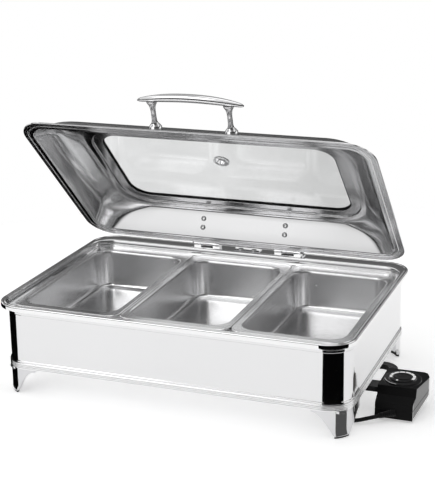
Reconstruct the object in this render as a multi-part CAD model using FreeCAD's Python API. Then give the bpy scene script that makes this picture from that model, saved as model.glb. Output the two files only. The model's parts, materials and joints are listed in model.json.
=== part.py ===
import FreeCAD, Part
import math
import os

os.makedirs("parts", exist_ok=True)
V = FreeCAD.Vector

# ---------------------------------------------------------------------------
# Driving dimensions, millimetres. X runs along the front, Y away from the
# front, Z up. Everything is drawn about the middle of the body at table level,
# then moved so that the origin lies under the middle of the whole server,
# its control box included.
# ---------------------------------------------------------------------------
SHEET = 1.2                      # stainless sheet thickness

# body
BODY_W, BODY_D, BODY_R = 547.0, 359.0, 38.5
FOOT_TOP = 42.5                  # underside of the body
BAND_TOP = 52.5
SKIRT_TOP = 135.8
BAND_PROUD = 1.6

# water pan and its rim
RIM_W, RIM_R = 558.0, 41.0
RIM_Y0, RIM_Y1 = -193.0, 198.5
RIM_TOP, LIP_BOTTOM = 147.7, 140.5
RECESS_X, RECESS_Y0, RECESS_Y1, RECESS_R = 270.0, -184.0, 170.0, 32.0
LEDGE_TOP = 137.0
TUB_X, TUB_Y0, TUB_Y1, TUB_R = 259.5, -149.0, 156.0, 34.0
TUB_BOTTOM = 60.0
TUB_DRAFT = 8.0

# three one-third food pans
PAN_W, PAN_D, PAN_PITCH = 176.0, 325.0, 176.6
PAN_Y = 3.5                      # middle of the pans, front to back
PAN_TOP, PAN_DEPTH, PAN_SHEET = 138.0, 65.0, 1.0
CAV_W, CAV_D, CAV_R = 156.0, 285.0, 26.0
CAV_Y = -1.5                     # middle of the hollow: its rear flange is wider
PAN_R = 18.0
PAN_DRAFT = 5.0

# lid, drawn closed and then opened about the hinge axis
LID_W, LID_D, LID_R = 556.0, 355.0, 44.0
LID_Y1, LID_Z = 167.5, 148.0     # rear edge and underside when closed
FLANGE = 15.0
DOME_H = 45.0                    # flange to shoulder
BEND_IN, BEND_H, BEND_R = 0.33, 30.0, 44.0   # where the wall bends over into the dome
WIN_W, WIN_D, WIN_R = 384.0, 188.0, 32.0
WIN_BACK = 66.0                  # rear edge of the lid to the window opening
SHOULDER = 30.0
PIVOT_Y, PIVOT_Z = 181.0, 157.0
LID_OPEN = 44.0                  # how far open the lid stands

# hinge
HINGE_X = 72.0
KNUCKLE_R, ROD_R = 7.5, 3.5
LEAF_W = 21.0

# handle
POST_X, POST_H = 60.0, 45.0
POST_SEAT = 24.5                 # up the front wall from the flange
BAR_HALF, BAR_BOW, BAR_R = 83.0, 7.0, 6.3

# control box
BOX_X0, BOX_X1, BOX_Y1, BOX_TOP = 290.0, 356.0, -8.0, 48.0
BOX_FRONT = [(-91.0, 4.0), (-89.5, 27.0), (-77.0, 35.0), (-74.5, BOX_TOP)]   # y and z up the front
BOX_SIDE_Y0, BOX_SIDE_Y1, BOX_FLARE = -85.0, -29.0, 10.0    # the right side flares out
BOX_REAR_Z = 26.0                # the underside rises to this at the back
SEAM_Z0, SEAM_Z1 = 17.0, 31.0    # seam at the front and at the back
BOX_WALL = 2.2
DIAL_X, DIAL_Y = 320.5, -46.0

# mains lead
CORD_R = 3.0


# ---------------------------------------------------------------------------
# Small helpers
# ---------------------------------------------------------------------------
def outline(x0, x1, y0, y1, r, z):
    """A closed wire: a rectangle with round corners, lying at height z."""
    k = r * (1 - math.sqrt(0.5))
    edges = [
        Part.makeLine(V(x0 + r, y0, z), V(x1 - r, y0, z)),
        Part.Arc(V(x1 - r, y0, z), V(x1 - k, y0 + k, z), V(x1, y0 + r, z)).toShape(),
        Part.makeLine(V(x1, y0 + r, z), V(x1, y1 - r, z)),
        Part.Arc(V(x1, y1 - r, z), V(x1 - k, y1 - k, z), V(x1 - r, y1, z)).toShape(),
        Part.makeLine(V(x1 - r, y1, z), V(x0 + r, y1, z)),
        Part.Arc(V(x0 + r, y1, z), V(x0 + k, y1 - k, z), V(x0, y1 - r, z)).toShape(),
        Part.makeLine(V(x0, y1 - r, z), V(x0, y0 + r, z)),
        Part.Arc(V(x0, y0 + r, z), V(x0 + k, y0 + k, z), V(x0 + r, y0, z)).toShape(),
    ]
    return Part.Wire(edges)


def slab(x0, x1, y0, y1, r, z0, z1):
    """A round-cornered plate between two heights."""
    return Part.Face(outline(x0, x1, y0, y1, r, z0)).extrude(V(0, 0, z1 - z0))


def grow(rect, d):
    """The same outline d larger all round (smaller when d is negative)."""
    x0, x1, y0, y1, r = rect
    return (x0 - d, x1 + d, y0 - d, y1 + d, r + d)


def taper(low, z0, high, z1):
    """A solid that changes from one round-cornered outline to another."""
    return Part.makeLoft([outline(*low, z0), outline(*high, z1)], True, True)


def block(x0, x1, y0, y1, z0, z1):
    return Part.makeBox(x1 - x0, y1 - y0, z1 - z0, V(x0, y0, z0))


def rod(p, direction, radius, length):
    return Part.makeCylinder(radius, length, p, direction)


def screw(p, direction, shank_r, length, head_r, head_h):
    """Pan-head screw: the head sits behind p, the shank runs along direction."""
    d = V(direction).normalize()
    head = rod(p - d * head_h, d, head_r, head_h)
    slot = Part.makeBox(head_r * 1.4, 0.9, 0.8, V(-head_r * 0.7, -0.45, 0))
    slot.Placement = FreeCAD.Placement(p - d * head_h, FreeCAD.Rotation(V(0, 0, 1), d))
    return head.cut(slot).fuse(rod(p, d, shank_r, length)).removeSplitter()


def turned(profile, p, direction):
    """A turned part: profile is (radius, height) pairs, its axis along direction."""
    pts = [V(r, 0, h) for r, h in profile]
    face = Part.Face(Part.makePolygon(pts + [pts[0]]))
    solid = face.revolve(V(0, 0, 0), V(0, 0, 1), 360)
    solid.Placement = FreeCAD.Placement(p, FreeCAD.Rotation(V(0, 0, 1), V(direction)))
    return solid


def opened(shape):
    """Swing a lid part from closed to where the lid stands."""
    s = shape.copy()
    s.rotate(V(0, PIVOT_Y, PIVOT_Z), V(1, 0, 0), -LID_OPEN)
    return s


parts = {}


# ---------------------------------------------------------------------------
# Body: skirt, band, bottom cover, feet
# ---------------------------------------------------------------------------
body = (-BODY_W / 2, BODY_W / 2, -BODY_D / 2, BODY_D / 2, BODY_R)
skirt = slab(*body, BAND_TOP - 6, SKIRT_TOP).cut(
    slab(*grow(body, -SHEET), BAND_TOP - 6, SKIRT_TOP - SHEET)
)
skirt = skirt.cut(slab(*grow(body, -8.0), SKIRT_TOP - 2 * SHEET, SKIRT_TOP + 1))
parts["body_skirt"] = skirt

band = slab(*grow(body, BAND_PROUD), FOOT_TOP, BAND_TOP).cut(
    slab(*body, FOOT_TOP - 1, BAND_TOP + 1)
)
for z in (FOOT_TOP + 3.0, FOOT_TOP + 6.5):
    groove = slab(*grow(body, BAND_PROUD + 1), z, z + 0.8)
    band = band.cut(groove.cut(slab(*grow(body, BAND_PROUD - 0.7), z, z + 0.8)))
parts["base_band"] = band

cover = slab(*body, FOOT_TOP, BAND_TOP - 6)
cover = cover.cut(slab(*grow(body, -2.5), FOOT_TOP + 1.5, BAND_TOP))
for i in range(-4, 5):
    if i != 0:
        cover = cover.cut(slab(i * 34 - 3, i * 34 + 3, -50, 50, 2.9, FOOT_TOP - 1, FOOT_TOP + 2))
parts["bottom_cover"] = cover

FOOT_T = 6.0
WING_X, WING_Y = 55.0, 66.0
TOE_X, TOE_Y = 21.5, 24.0
foot_screws = []


def wing_profile(reach, toe, drop):
    """Half of a foot seen square on: straight top, hollow lower edge, narrow toe."""
    top = FOOT_TOP
    a, b = V(0, 0, top), V(reach, 0, top)
    c, d = V(reach, 0, top - drop), V(toe, 0, 3.0)
    mid = V(toe + (reach - toe) * 0.36, 0, 3.0 + (top - drop - 3.0) * 0.60)
    edges = [
        Part.makeLine(a, b),
        Part.makeLine(b, c),
        Part.Arc(c, mid, d).toShape(),
        Part.makeLine(d, V(0, 0, 3.0)),
        Part.makeLine(V(0, 0, 3.0), a),
    ]
    return Part.Face(Part.Wire(edges))


def foot(sx, sy):
    """Cast corner foot: two wings round the body's corner, with a screw tab."""
    ring = slab(*body, 0, FOOT_TOP).cut(slab(*grow(body, -FOOT_T), -1, FOOT_TOP + 1))
    hx, hy = BODY_W / 2, BODY_D / 2
    front = wing_profile(WING_X, TOE_X, 4.0).extrude(V(0, 120, 0))
    side = wing_profile(WING_Y, TOE_Y, 16.0).extrude(V(0, 120, 0))
    # the front wing is cut from the ring looking along Y, the side wing along X
    front.translate(V(-hx, -hy - 1, 0))
    side.rotate(V(0, 0, 0), V(0, 0, 1), 90)
    side.translate(V(-hx + 119, -hy, 0))
    corner = block(-hx - 1, -hx + TOE_X + 0.01, -hy - 1, -hy + TOE_Y + 0.01, 3.0, FOOT_TOP)
    front_part = ring.common(front).common(block(-hx, -hx + 90, -hy, -hy + BODY_R, 0, 60))
    side_part = ring.common(side).common(block(-hx, -hx + BODY_R, -hy, -hy + 90, 0, 60))
    # round the corner both hollow edges must agree, so keep what both wings hold
    both = block(-hx - 1, -hx + BODY_R, -hy - 1, -hy + BODY_R, 0, 60)
    shape = front_part.cut(both).fuse(side_part.cut(both))
    shape = shape.fuse(ring.common(front.common(side)).common(both))
    shape = shape.fuse(ring.common(corner))
    # toe turned out a little
    toe = block(-hx - 0.01, -hx + TOE_X, -hy - 0.01, -hy + TOE_Y, 3.0, 15.0)
    kick = slab(*grow(body, 1.8), 3.0, 9.0).cut(slab(*grow(body, -FOOT_T), 2, 10))
    kick = kick.common(block(-hx - 5, -hx + TOE_X, -hy - 5, -hy + TOE_Y, 3.0, 9.0))
    shape = shape.fuse(kick).fuse(ring.common(toe))
    tab = slab(*grow(body, -1.0), FOOT_TOP - 4.0, FOOT_TOP).common(
        block(-hx, -hx + 44, -hy, -hy + 44, 0, 60)
    )
    cut_corner = Part.Face(Part.makePolygon([
        V(-hx + 50, -hy + 18, 0), V(-hx + 50, -hy + 50, 0), V(-hx + 18, -hy + 50, 0),
        V(-hx + 50, -hy + 18, 0)])).extrude(V(0, 0, 60))
    shape = shape.fuse(tab.cut(cut_corner))
    for dx, dy in ((30.0, 16.0), (16.0, 30.0)):
        s = screw(V(-hx + dx, -hy + dy, FOOT_TOP - 4.0), V(0, 0, 1), 2.0, 8.0, 3.6, 2.2)
        shape = shape.cut(rod(V(-hx + dx, -hy + dy, FOOT_TOP - 6), V(0, 0, 1), 2.0, 8))
        placed = s
        if sx > 0:
            placed = placed.mirror(V(0, 0, 0), V(1, 0, 0))
        if sy > 0:
            placed = placed.mirror(V(0, 0, 0), V(0, 1, 0))
        foot_screws.append(placed)
    pad = slab(*grow(body, -0.6), 0, 3.0).cut(slab(*grow(body, 0.8 - FOOT_T), -1, 4.0))
    pad = pad.common(block(-hx, -hx + TOE_X - 1, -hy, -hy + TOE_Y - 1, 0, 3.0))
    shape = shape.removeSplitter()
    if sx > 0:
        shape, pad = shape.mirror(V(0, 0, 0), V(1, 0, 0)), pad.mirror(V(0, 0, 0), V(1, 0, 0))
    if sy > 0:
        shape, pad = shape.mirror(V(0, 0, 0), V(0, 1, 0)), pad.mirror(V(0, 0, 0), V(0, 1, 0))
    return shape, pad


for name, sx, sy in (("front_left", -1, -1), ("front_right", 1, -1),
                     ("rear_left", -1, 1), ("rear_right", 1, 1)):
    parts["foot_" + name], parts["foot_pad_" + name] = foot(sx, sy)
all_foot_screws = Part.makeCompound(foot_screws)
parts["foot_screws"] = all_foot_screws
parts["bottom_cover"] = parts["bottom_cover"].cut(all_foot_screws)

# ---------------------------------------------------------------------------
# Heating under the water pan
# ---------------------------------------------------------------------------
HEAT_TOP, HEAT_T = TUB_BOTTOM - SHEET, 3.0
ELEMENT_R = 3.25
plate = slab(-170, 170, -80, 80, 30, HEAT_TOP - HEAT_T, HEAT_TOP)
element_z = HEAT_TOP - HEAT_T - ELEMENT_R
straight = Part.Wire([
    Part.makeLine(V(185, -35, element_z), V(-110, -35, element_z)),
    Part.Arc(V(-110, -35, element_z), V(-145, 0, element_z), V(-110, 35, element_z)).toShape(),
    Part.makeLine(V(-110, 35, element_z), V(185, 35, element_z)),
])
end_face = Part.Wire([Part.makeCircle(ELEMENT_R, V(185, -35, element_z), V(1, 0, 0))])
element = straight.makePipeShell([end_face], True, True)
ends = []
for y in (-35.0, 35.0):
    ends.append(turned([(0, 0), (4.2, 0), (4.2, 9), (1.8, 9), (1.8, 16), (0, 16)],
                       V(185, y, element_z), V(1, 0, 0)))
parts["element_terminals"] = Part.makeCompound(ends)
parts["heater_plate"] = plate
parts["heating_element"] = element
clips = []
for x in (-90.0, 0.0, 90.0):
    for y in (-35.0, 35.0):
        clip = block(x - 6, x + 6, y - 9, y + 9, element_z - 4.75, HEAT_TOP - HEAT_T)
        clip = clip.cut(rod(V(x - 7, y, element_z), V(1, 0, 0), ELEMENT_R, 14))
        clip = clip.cut(block(x - 7, x + 7, y - ELEMENT_R, y + ELEMENT_R, element_z, HEAT_TOP - HEAT_T))
        clips.append(clip)
parts["element_clips"] = Part.makeCompound(clips)
for name, sx in (("left", -1), ("right", 1)):
    x0, x1 = sorted((sx * 158, sx * 178))
    post = block(x0, x1, -14, 14, FOOT_TOP + 1.5, FOOT_TOP + 3.0)
    post = post.fuse(block(*sorted((sx * 176.5, sx * 178)), -14, 14, FOOT_TOP + 1.5, HEAT_TOP - HEAT_T))
    post = post.fuse(block(*sorted((sx * 160, sx * 178)), -14, 14,
                           HEAT_TOP - HEAT_T - 1.5, HEAT_TOP - HEAT_T))
    parts["heater_bracket_" + name] = post.removeSplitter()
cutout = turned([(0, 0), (8, 0), (8, 5.5), (11, 5.5), (11, 7.0), (0, 7.0)],
                V(0, 0, HEAT_TOP - HEAT_T - 7.0), V(0, 0, 1))
parts["thermal_cutout"] = cutout

# ---------------------------------------------------------------------------
# Water pan with its rolled rim
# ---------------------------------------------------------------------------
rim = (-RIM_W / 2, RIM_W / 2, RIM_Y0, RIM_Y1, RIM_R)
recess = (-RECESS_X, RECESS_X, RECESS_Y0, RECESS_Y1, RECESS_R)
tub_top = (-TUB_X, TUB_X, TUB_Y0, TUB_Y1, TUB_R)
tub_low = grow(tub_top, -TUB_DRAFT)
water = slab(*rim, RIM_TOP - SHEET, RIM_TOP)
water = water.fuse(slab(*rim, LIP_BOTTOM, RIM_TOP).cut(
    slab(*grow(rim, -SHEET), LIP_BOTTOM - 1, RIM_TOP + 1)))
water = water.fuse(slab(*grow(recess, SHEET), LEDGE_TOP - SHEET, RIM_TOP))
water = water.cut(slab(*recess, LEDGE_TOP, RIM_TOP + 1))
tub_out = taper(grow(tub_low, SHEET), TUB_BOTTOM - SHEET, grow(tub_top, SHEET), LEDGE_TOP)
tub_in = taper(tub_low, TUB_BOTTOM, tub_top, LEDGE_TOP + 0.5)
water = water.fuse(tub_out).cut(tub_in).removeSplitter()
water = water.cut(slab(*tub_top, LEDGE_TOP - 0.2, LEDGE_TOP + 5))

# ---------------------------------------------------------------------------
# Hinge on the rear of the rim
# ---------------------------------------------------------------------------
BASE_Y0, BASE_Y1 = 170.2, 192.5
base = slab(-HINGE_X - 27, HINGE_X + 27, BASE_Y0, BASE_Y1, 3.0, RIM_TOP, RIM_TOP + 1.6)
lug_w = 12.0
for cx in (-HINGE_X, HINGE_X):
    for side in (-1, 1):
        inner = cx + side * (LEAF_W / 2 + 0.4)
        x0, x1 = sorted((inner, inner + side * lug_w))
        base = base.fuse(rod(V(x0, PIVOT_Y, PIVOT_Z), V(1, 0, 0), KNUCKLE_R, x1 - x0))
        base = base.fuse(block(x0, x1, PIVOT_Y - 5.5, PIVOT_Y + 5.5, RIM_TOP, PIVOT_Z - 3))
ROD_END = HINGE_X + LEAF_W / 2 + 0.4 + lug_w
hinge_rod = rod(V(-ROD_END - 2, PIVOT_Y, PIVOT_Z), V(1, 0, 0), ROD_R, 2 * ROD_END + 4)
for end in (-1, 1):
    x = -ROD_END - 3.5 if end < 0 else ROD_END
    hinge_rod = hinge_rod.fuse(rod(V(x, PIVOT_Y, PIVOT_Z), V(1, 0, 0), 5.2, 3.5))
base = base.cut(hinge_rod).removeSplitter()
base_screws = []
for x in (-11.6, 11.6):
    base_screws.append(screw(V(x, 179.5, RIM_TOP + 1.6), V(0, 0, -1), 2.2, 7.0, 4.2, 2.0))
parts["hinge_base_screws"] = Part.makeCompound(base_screws)
for s in base_screws:
    base, water = base.cut(s), water.cut(s)
parts["hinge_base"] = base
parts["hinge_rod"] = hinge_rod
parts["water_pan"] = water

# ---------------------------------------------------------------------------
# Food pans
# ---------------------------------------------------------------------------
def food_pan(cx):
    top = (cx - PAN_W / 2, cx + PAN_W / 2, PAN_Y - PAN_D / 2, PAN_Y + PAN_D / 2, PAN_R)
    cav = (cx - CAV_W / 2, cx + CAV_W / 2, CAV_Y - CAV_D / 2, CAV_Y + CAV_D / 2, CAV_R)
    low, bend = grow(cav, -PAN_DRAFT), 7.0
    floor_z = PAN_TOP - PAN_DEPTH
    solid = slab(*top, PAN_TOP - PAN_SHEET, PAN_TOP)
    solid = solid.fuse(taper(grow(low, PAN_SHEET), floor_z + bend, grow(cav, PAN_SHEET), PAN_TOP))
    solid = solid.fuse(taper(grow(low, -bend * 0.8 + PAN_SHEET), floor_z,
                             grow(low, PAN_SHEET), floor_z + bend))
    hollow = taper(low, floor_z + bend + 0.4, cav, PAN_TOP + 0.001)
    hollow = hollow.fuse(taper(grow(low, -bend * 0.8), floor_z + PAN_SHEET, low, floor_z + bend + 0.4))
    return solid.cut(hollow).removeSplitter()


for name, cx in (("left", -PAN_PITCH), ("centre", 0.0), ("right", PAN_PITCH)):
    parts["food_pan_" + name] = food_pan(cx)

# ---------------------------------------------------------------------------
# Lid (drawn closed)
# ---------------------------------------------------------------------------
lid_y0 = LID_Y1 - LID_D
edge = (-LID_W / 2, LID_W / 2, lid_y0, LID_Y1, LID_R)
foot_line = grow(edge, -FLANGE)
win_y1 = LID_Y1 - WIN_BACK
window = (-WIN_W / 2, WIN_W / 2, win_y1 - WIN_D, win_y1, WIN_R)
top_line = grow(window, SHOULDER)
step = grow(window, 17.0)
z0, z1 = LID_Z, LID_Z + DOME_H
bend_line = tuple(a + (b - a) * BEND_IN for a, b in zip(foot_line[:3], top_line[:3]))
bend_line += (foot_line[3] + (top_line[3] - foot_line[3]) * BEND_H / DOME_H, BEND_R)
z_bend = z0 + BEND_H
shell = taper(foot_line, z0, bend_line, z_bend).fuse(taper(bend_line, z_bend, top_line, z1))
shell = shell.cut(taper(grow(foot_line, -1.7), z0 - 0.01, grow(bend_line, -1.7), z_bend))
shell = shell.cut(taper(grow(bend_line, -1.7), z_bend - 0.01, grow(top_line, -1.7), z1 - SHEET))
shell = shell.cut(slab(*grow(step, -SHEET), z1 - 3, z1 + 1))
shell = shell.fuse(slab(*step, z1 - SHEET, z1 + 3.2).cut(slab(*grow(step, -SHEET), z1 - 3, z1 + 9)))
shell = shell.fuse(slab(*step, z1 + 2.0, z1 + 3.2).cut(slab(*window, z1 - 3, z1 + 9)))
shell = shell.fuse(slab(*edge, z0, z0 + SHEET).cut(slab(*grow(foot_line, -1.0), z0 - 1, z0 + 9)))
shell = shell.fuse(slab(*edge, z0, z0 + 2.6).cut(slab(*grow(edge, -3.5), z0 - 1, z0 + 9)))
shell = shell.removeSplitter()

GLASS_Z = z1 + 4.4
glass = slab(*grow(window, 4.0), GLASS_Z, GLASS_Z + 4.0)
gasket = slab(*grow(window, 8.0), z1 + 3.2, GLASS_Z + 5.2)
gasket = gasket.cut(slab(*grow(window, -2.0), z1, GLASS_Z + 9)).cut(glass)
VENT_Y = LID_Y1 - 194.0
vent_hole = rod(V(0, VENT_Y, GLASS_Z - 5), V(0, 0, 1), 9.5, 20)
glass = glass.cut(vent_hole)
g0, g1 = GLASS_Z, GLASS_Z + 4.0
vent = turned([(6.0, g0 - 1.4), (12.5, g0 - 1.4), (12.5, g0), (9.5, g0), (9.5, g1),
               (12.5, g1), (12.5, g1 + 1.4), (6.0, g1 + 1.4)], V(0, VENT_Y, 0), V(0, 0, 1))
parts["lid_gasket"] = opened(gasket)
parts["lid_glass"] = opened(glass)
parts["steam_vent"] = opened(vent)

# handle on the sloping front wall
wall_run = bend_line[2] - foot_line[2]
wall_len = math.hypot(wall_run, BEND_H)
wall_out = V(0, -BEND_H / wall_len, wall_run / wall_len)
seat_y = foot_line[2] + POST_SEAT * wall_run / wall_len
seat_z = z0 + POST_SEAT * BEND_H / wall_len


def handle_post(x):
    base_at = V(x, seat_y, seat_z)
    post = turned([(0, 0), (9.6, 0), (10.2, 3.0), (8.2, 6.0), (4.8, 10.0), (3.8, 15), (3.6, 31),
                   (4.8, 38), (8.2, POST_H - 1.2), (8.2, POST_H), (0, POST_H)], base_at, wall_out)
    bolt = screw(base_at - wall_out * 1.5, wall_out, 2.0, 16.0, 4.5, 2.2)
    return post.cut(bolt), bolt


posts = {}
bolts = []
for name, x in (("left", -POST_X), ("right", POST_X)):
    posts[name], bolt = handle_post(x)
    bolts.append(bolt)
    shell = shell.cut(bolt)
    wall_skin = posts[name].common(shell)
    if wall_skin.Volume > 0:
        posts[name] = posts[name].cut(shell)

sections = []
for k in range(13):
    u = -1 + 2 * k / 12
    r = BAR_R * (1 - 0.62 * abs(u) ** 3)
    centre = V(u * BAR_HALF, seat_y, seat_z) + wall_out * (POST_H + 3.5 + BAR_BOW * (1 - u * u) - 2.6)
    slope = V(1, 0, 0) - wall_out * (2 * BAR_BOW * u / BAR_HALF)
    sections.append(Part.Wire([Part.makeCircle(r, centre, slope)]))
bar = Part.makeLoft(sections, True, False)
for name in posts:
    posts[name] = posts[name].cut(bar)
    solids = sorted(posts[name].Solids, key=lambda s: -s.Volume)
    posts[name] = solids[0]
    parts["handle_post_" + name] = opened(posts[name])
parts["handle_bar"] = opened(bar)
parts["handle_screws"] = opened(Part.makeCompound(bolts))

# hinge leaves on the rear wall
rear_run = foot_line[3] - top_line[3]
rear_len = math.hypot(rear_run, DOME_H)
rear_up = V(0, -rear_run / rear_len, DOME_H / rear_len)
rear_out = V(0, DOME_H / rear_len, rear_run / rear_len)
rear_foot = V(0, foot_line[3], z0)
leaf_screws = []


def on_wall(x, s, out):
    """A point s up the rear wall and out from it."""
    return V(x, 0, 0) + rear_foot + rear_up * s + rear_out * out


def hinge_leaf(cx):
    w = 17.0
    pad = [on_wall(cx - w, 9, 0), on_wall(cx - w, 44, 0), on_wall(cx - w, 44, 2), on_wall(cx - w, 9, 2)]
    leaf = Part.Face(Part.makePolygon(pad + [pad[0]])).extrude(V(2 * w, 0, 0))
    h = LEAF_W / 2
    arm = [on_wall(cx - h, 9, 0), on_wall(cx - h, 14, 0), on_wall(cx - h, 14, 2),
           V(cx - h, PIVOT_Y - 4, PIVOT_Z + 3.5), V(cx - h, PIVOT_Y - 4, PIVOT_Z),
           on_wall(cx - h, 9, 2)]
    leaf = leaf.fuse(Part.Face(Part.makePolygon(arm + [arm[0]])).extrude(V(LEAF_W, 0, 0)))
    leaf = leaf.fuse(rod(V(cx - h, PIVOT_Y, PIVOT_Z), V(1, 0, 0), KNUCKLE_R - 0.5, LEAF_W))
    leaf = leaf.cut(rod(V(cx - h - 1, PIVOT_Y, PIVOT_Z), V(1, 0, 0), ROD_R + 0.06, LEAF_W + 2))
    fixed = []
    for s in (19.0, 34.0):
        fixed.append(screw(on_wall(cx, s, -1.6), rear_out, 2.2, 6.0, 4.4, 2.0))
    return leaf.removeSplitter(), fixed


for name, cx in (("left", -HINGE_X), ("right", HINGE_X)):
    leaf, fixed = hinge_leaf(cx)
    leaf = leaf.cut(shell)
    for s in fixed:
        leaf, shell = leaf.cut(s), shell.cut(s)
    leaf_screws += fixed
    parts["hinge_leaf_" + name] = opened(leaf)
parts["hinge_leaf_screws"] = opened(Part.makeCompound(leaf_screws))
parts["lid_shell"] = opened(shell)

# ---------------------------------------------------------------------------
# Control box on two arms
# ---------------------------------------------------------------------------
def box_solid(d):
    """The control box pulled in by d all round: a front that steps back, flared, sloping below."""
    front = [(y + d, z) for y, z in BOX_FRONT]
    front[0] = (front[0][0], front[0][1] + d)
    front[-1] = (front[-1][0], front[-1][1] - d)
    side = front + [(BOX_Y1 - d, BOX_TOP - d), (BOX_Y1 - d, BOX_REAR_Z + d)]
    pts = [V(BOX_X0 + d, y, z) for y, z in side]
    body = Part.Face(Part.makePolygon(pts + [pts[0]])).extrude(V(BOX_X1 - BOX_X0, 0, 0))
    x_front = BOX_X1 - BOX_FLARE - d
    plan = [V(BOX_X0, -100, 0), V(x_front, -100, 0), V(x_front, BOX_SIDE_Y0, 0),
            V(BOX_X1 - d, BOX_SIDE_Y1, 0), V(BOX_X1 - d, BOX_Y1 - 16, 0),
            V(BOX_X1 - 5 - d, BOX_Y1 - 3.5, 0), V(BOX_X1 - 11 - d, BOX_Y1, 0), V(BOX_X0, BOX_Y1, 0)]
    prism = Part.Face(Part.makePolygon(plan + [plan[0]])).extrude(V(0, 0, 60))
    return body.common(prism).removeSplitter()


case = box_solid(0.0)
hollow_case = case.cut(box_solid(BOX_WALL))


def under_seam(rise):
    """Everything below the sloping seam, raised by rise."""
    pts = [V(280, -100, -1), V(280, 0, -1), V(280, 0, SEAM_Z1 + 1.35 + rise),
           V(280, -100, SEAM_Z0 - 1.52 + rise)]
    return Part.Face(Part.makePolygon(pts + [pts[0]])).extrude(V(90, 0, 0))


control_base = hollow_case.common(under_seam(0.0))
control_cover = hollow_case.cut(under_seam(0.0))
# a shadow groove just above the seam
groove = under_seam(1.6).cut(under_seam(0.0)).cut(box_solid(0.6))
control_cover = control_cover.cut(groove)
ring_z = BOX_TOP
scale_ring = turned([(20.5, 0), (28.0, 0), (28.0, 2.0), (26.5, 3.0), (20.5, 3.0)],
                    V(DIAL_X, DIAL_Y, ring_z), V(0, 0, 1))
knob = turned([(0, 0.4), (19.9, 0.4), (19.9, 4.2), (19.3, 4.8), (13.6, 4.8), (13.3, 5.5), (12.6, 5.9),
               (0, 5.9)], V(DIAL_X, DIAL_Y, ring_z), V(0, 0, 1))
marker = rod(V(DIAL_X + 16.3, DIAL_Y, ring_z + 4.8), V(0, 0, 1), 1.6, 0.5)
marker.rotate(V(DIAL_X, DIAL_Y, 0), V(0, 0, 1), -108)
spindle = rod(V(DIAL_X, DIAL_Y, ring_z - 14), V(0, 0, 1), 3.0, 14.4 + 4.2)
spindle = spindle.cut(block(DIAL_X + 2, DIAL_X + 5, DIAL_Y - 5, DIAL_Y + 5, ring_z + 0.4, ring_z + 9))
knob = knob.cut(spindle)
control_cover = control_cover.cut(rod(V(DIAL_X, DIAL_Y, ring_z - 10), V(0, 0, 1), 3.4, 20))
thermostat = block(DIAL_X - 15, DIAL_X + 15, DIAL_Y - 15, DIAL_Y + 15, 23.0, ring_z - 6)
thermostat = thermostat.cut(rod(V(DIAL_X, DIAL_Y, ring_z - 15), V(0, 0, 1), 3.05, 12))
pillars = block(DIAL_X - 14, DIAL_X - 9, DIAL_Y - 14, DIAL_Y - 9, ring_z - 6, ring_z - 2.2)
pillars = pillars.fuse(block(DIAL_X + 9, DIAL_X + 14, DIAL_Y + 9, DIAL_Y + 14, ring_z - 6, ring_z - 2.2))
thermostat = thermostat.fuse(pillars).removeSplitter()
terminals = []
for i in range(3):
    x = DIAL_X + 2 + i * 6.4
    t = block(x, x + 6.0, -84.0, -68.0, 7.0, 21.0).cut(hollow_case)
    t = sorted(t.Solids, key=lambda solid: -solid.Volume)[0]
    terminals.append(t.cut(rod(V(x + 3, -76, 14), V(0, 0, 1), 1.7, 8)))
parts["scale_ring"] = scale_ring
parts["thermostat_knob"] = knob
parts["knob_marker"] = marker
parts["thermostat_spindle"] = spindle
parts["thermostat"] = thermostat
parts["terminal_block"] = Part.makeCompound(terminals)

# arms: flat bars under the body's right edge, the rear one curving round
ARM_Z0, ARM_Z1 = 34.5, FOOT_TOP
front_arm = block(236, BOX_X0, -72, -47, ARM_Z0, ARM_Z1)
rear_arm = block(236, 276, 15, 27, ARM_Z0, ARM_Z1)
bend = rod(V(276, 1, ARM_Z0), V(0, 0, 1), 26, ARM_Z1 - ARM_Z0)
bend = bend.cut(rod(V(276, 1, ARM_Z0 - 1), V(0, 0, 1), 14, 20))
bend = bend.common(block(276, 330, 1, 40, ARM_Z0, ARM_Z1))
bend = bend.fuse(block(290, 302, BOX_Y1, 1, ARM_Z0, ARM_Z1))
rear_arm = rear_arm.fuse(bend).removeSplitter()
arm_screws = []
for y in (-60.0, 21.0):
    s = screw(V(248, y, ARM_Z0), V(0, 0, 1), 2.2, 11.0, 4.2, 2.2)
    arm_screws.append(s)
    front_arm, rear_arm = front_arm.cut(s), rear_arm.cut(s)
    parts["bottom_cover"] = parts["bottom_cover"].cut(s)
parts["arm_screws"] = Part.makeCompound(arm_screws)
parts["control_arm_front"] = front_arm
parts["control_arm_rear"] = rear_arm

# ---------------------------------------------------------------------------
# Mains lead, its gland, coil and plug
# ---------------------------------------------------------------------------
def uncoiled(points, radius):
    """A round tube along straight runs joined by tangent arcs."""
    pts = [V(*p) for p in points]
    edges, start, radii = [], pts[0], []
    for a, b, c in zip(pts, pts[1:], pts[2:]):
        u, w = (b - a), (c - b)
        short = min(u.Length, w.Length)
        u.normalize()
        w.normalize()
        half = u.getAngle(w) / 2
        back = 0.45 * short
        bend_r = back / math.tan(half)
        radii.append(round(bend_r, 1))
        p, q = b - u * back, b + w * back
        inward = (w - u).normalize()
        mid = b + inward * (bend_r / math.cos(half) - bend_r)
        edges.append(Part.makeLine(start, p))
        edges.append(Part.Arc(p, mid, q).toShape())
        start = q
    edges.append(Part.makeLine(start, pts[-1]))
    wire = Part.Wire(edges)
    ends = (pts[1] - pts[0]).normalize()
    face = Part.Wire([Part.makeCircle(radius, pts[0], ends)])
    print("bend radii", radii, "length", round(wire.Length, 1))
    return wire.makePipeShell([face], True, False), wire.Length


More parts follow.
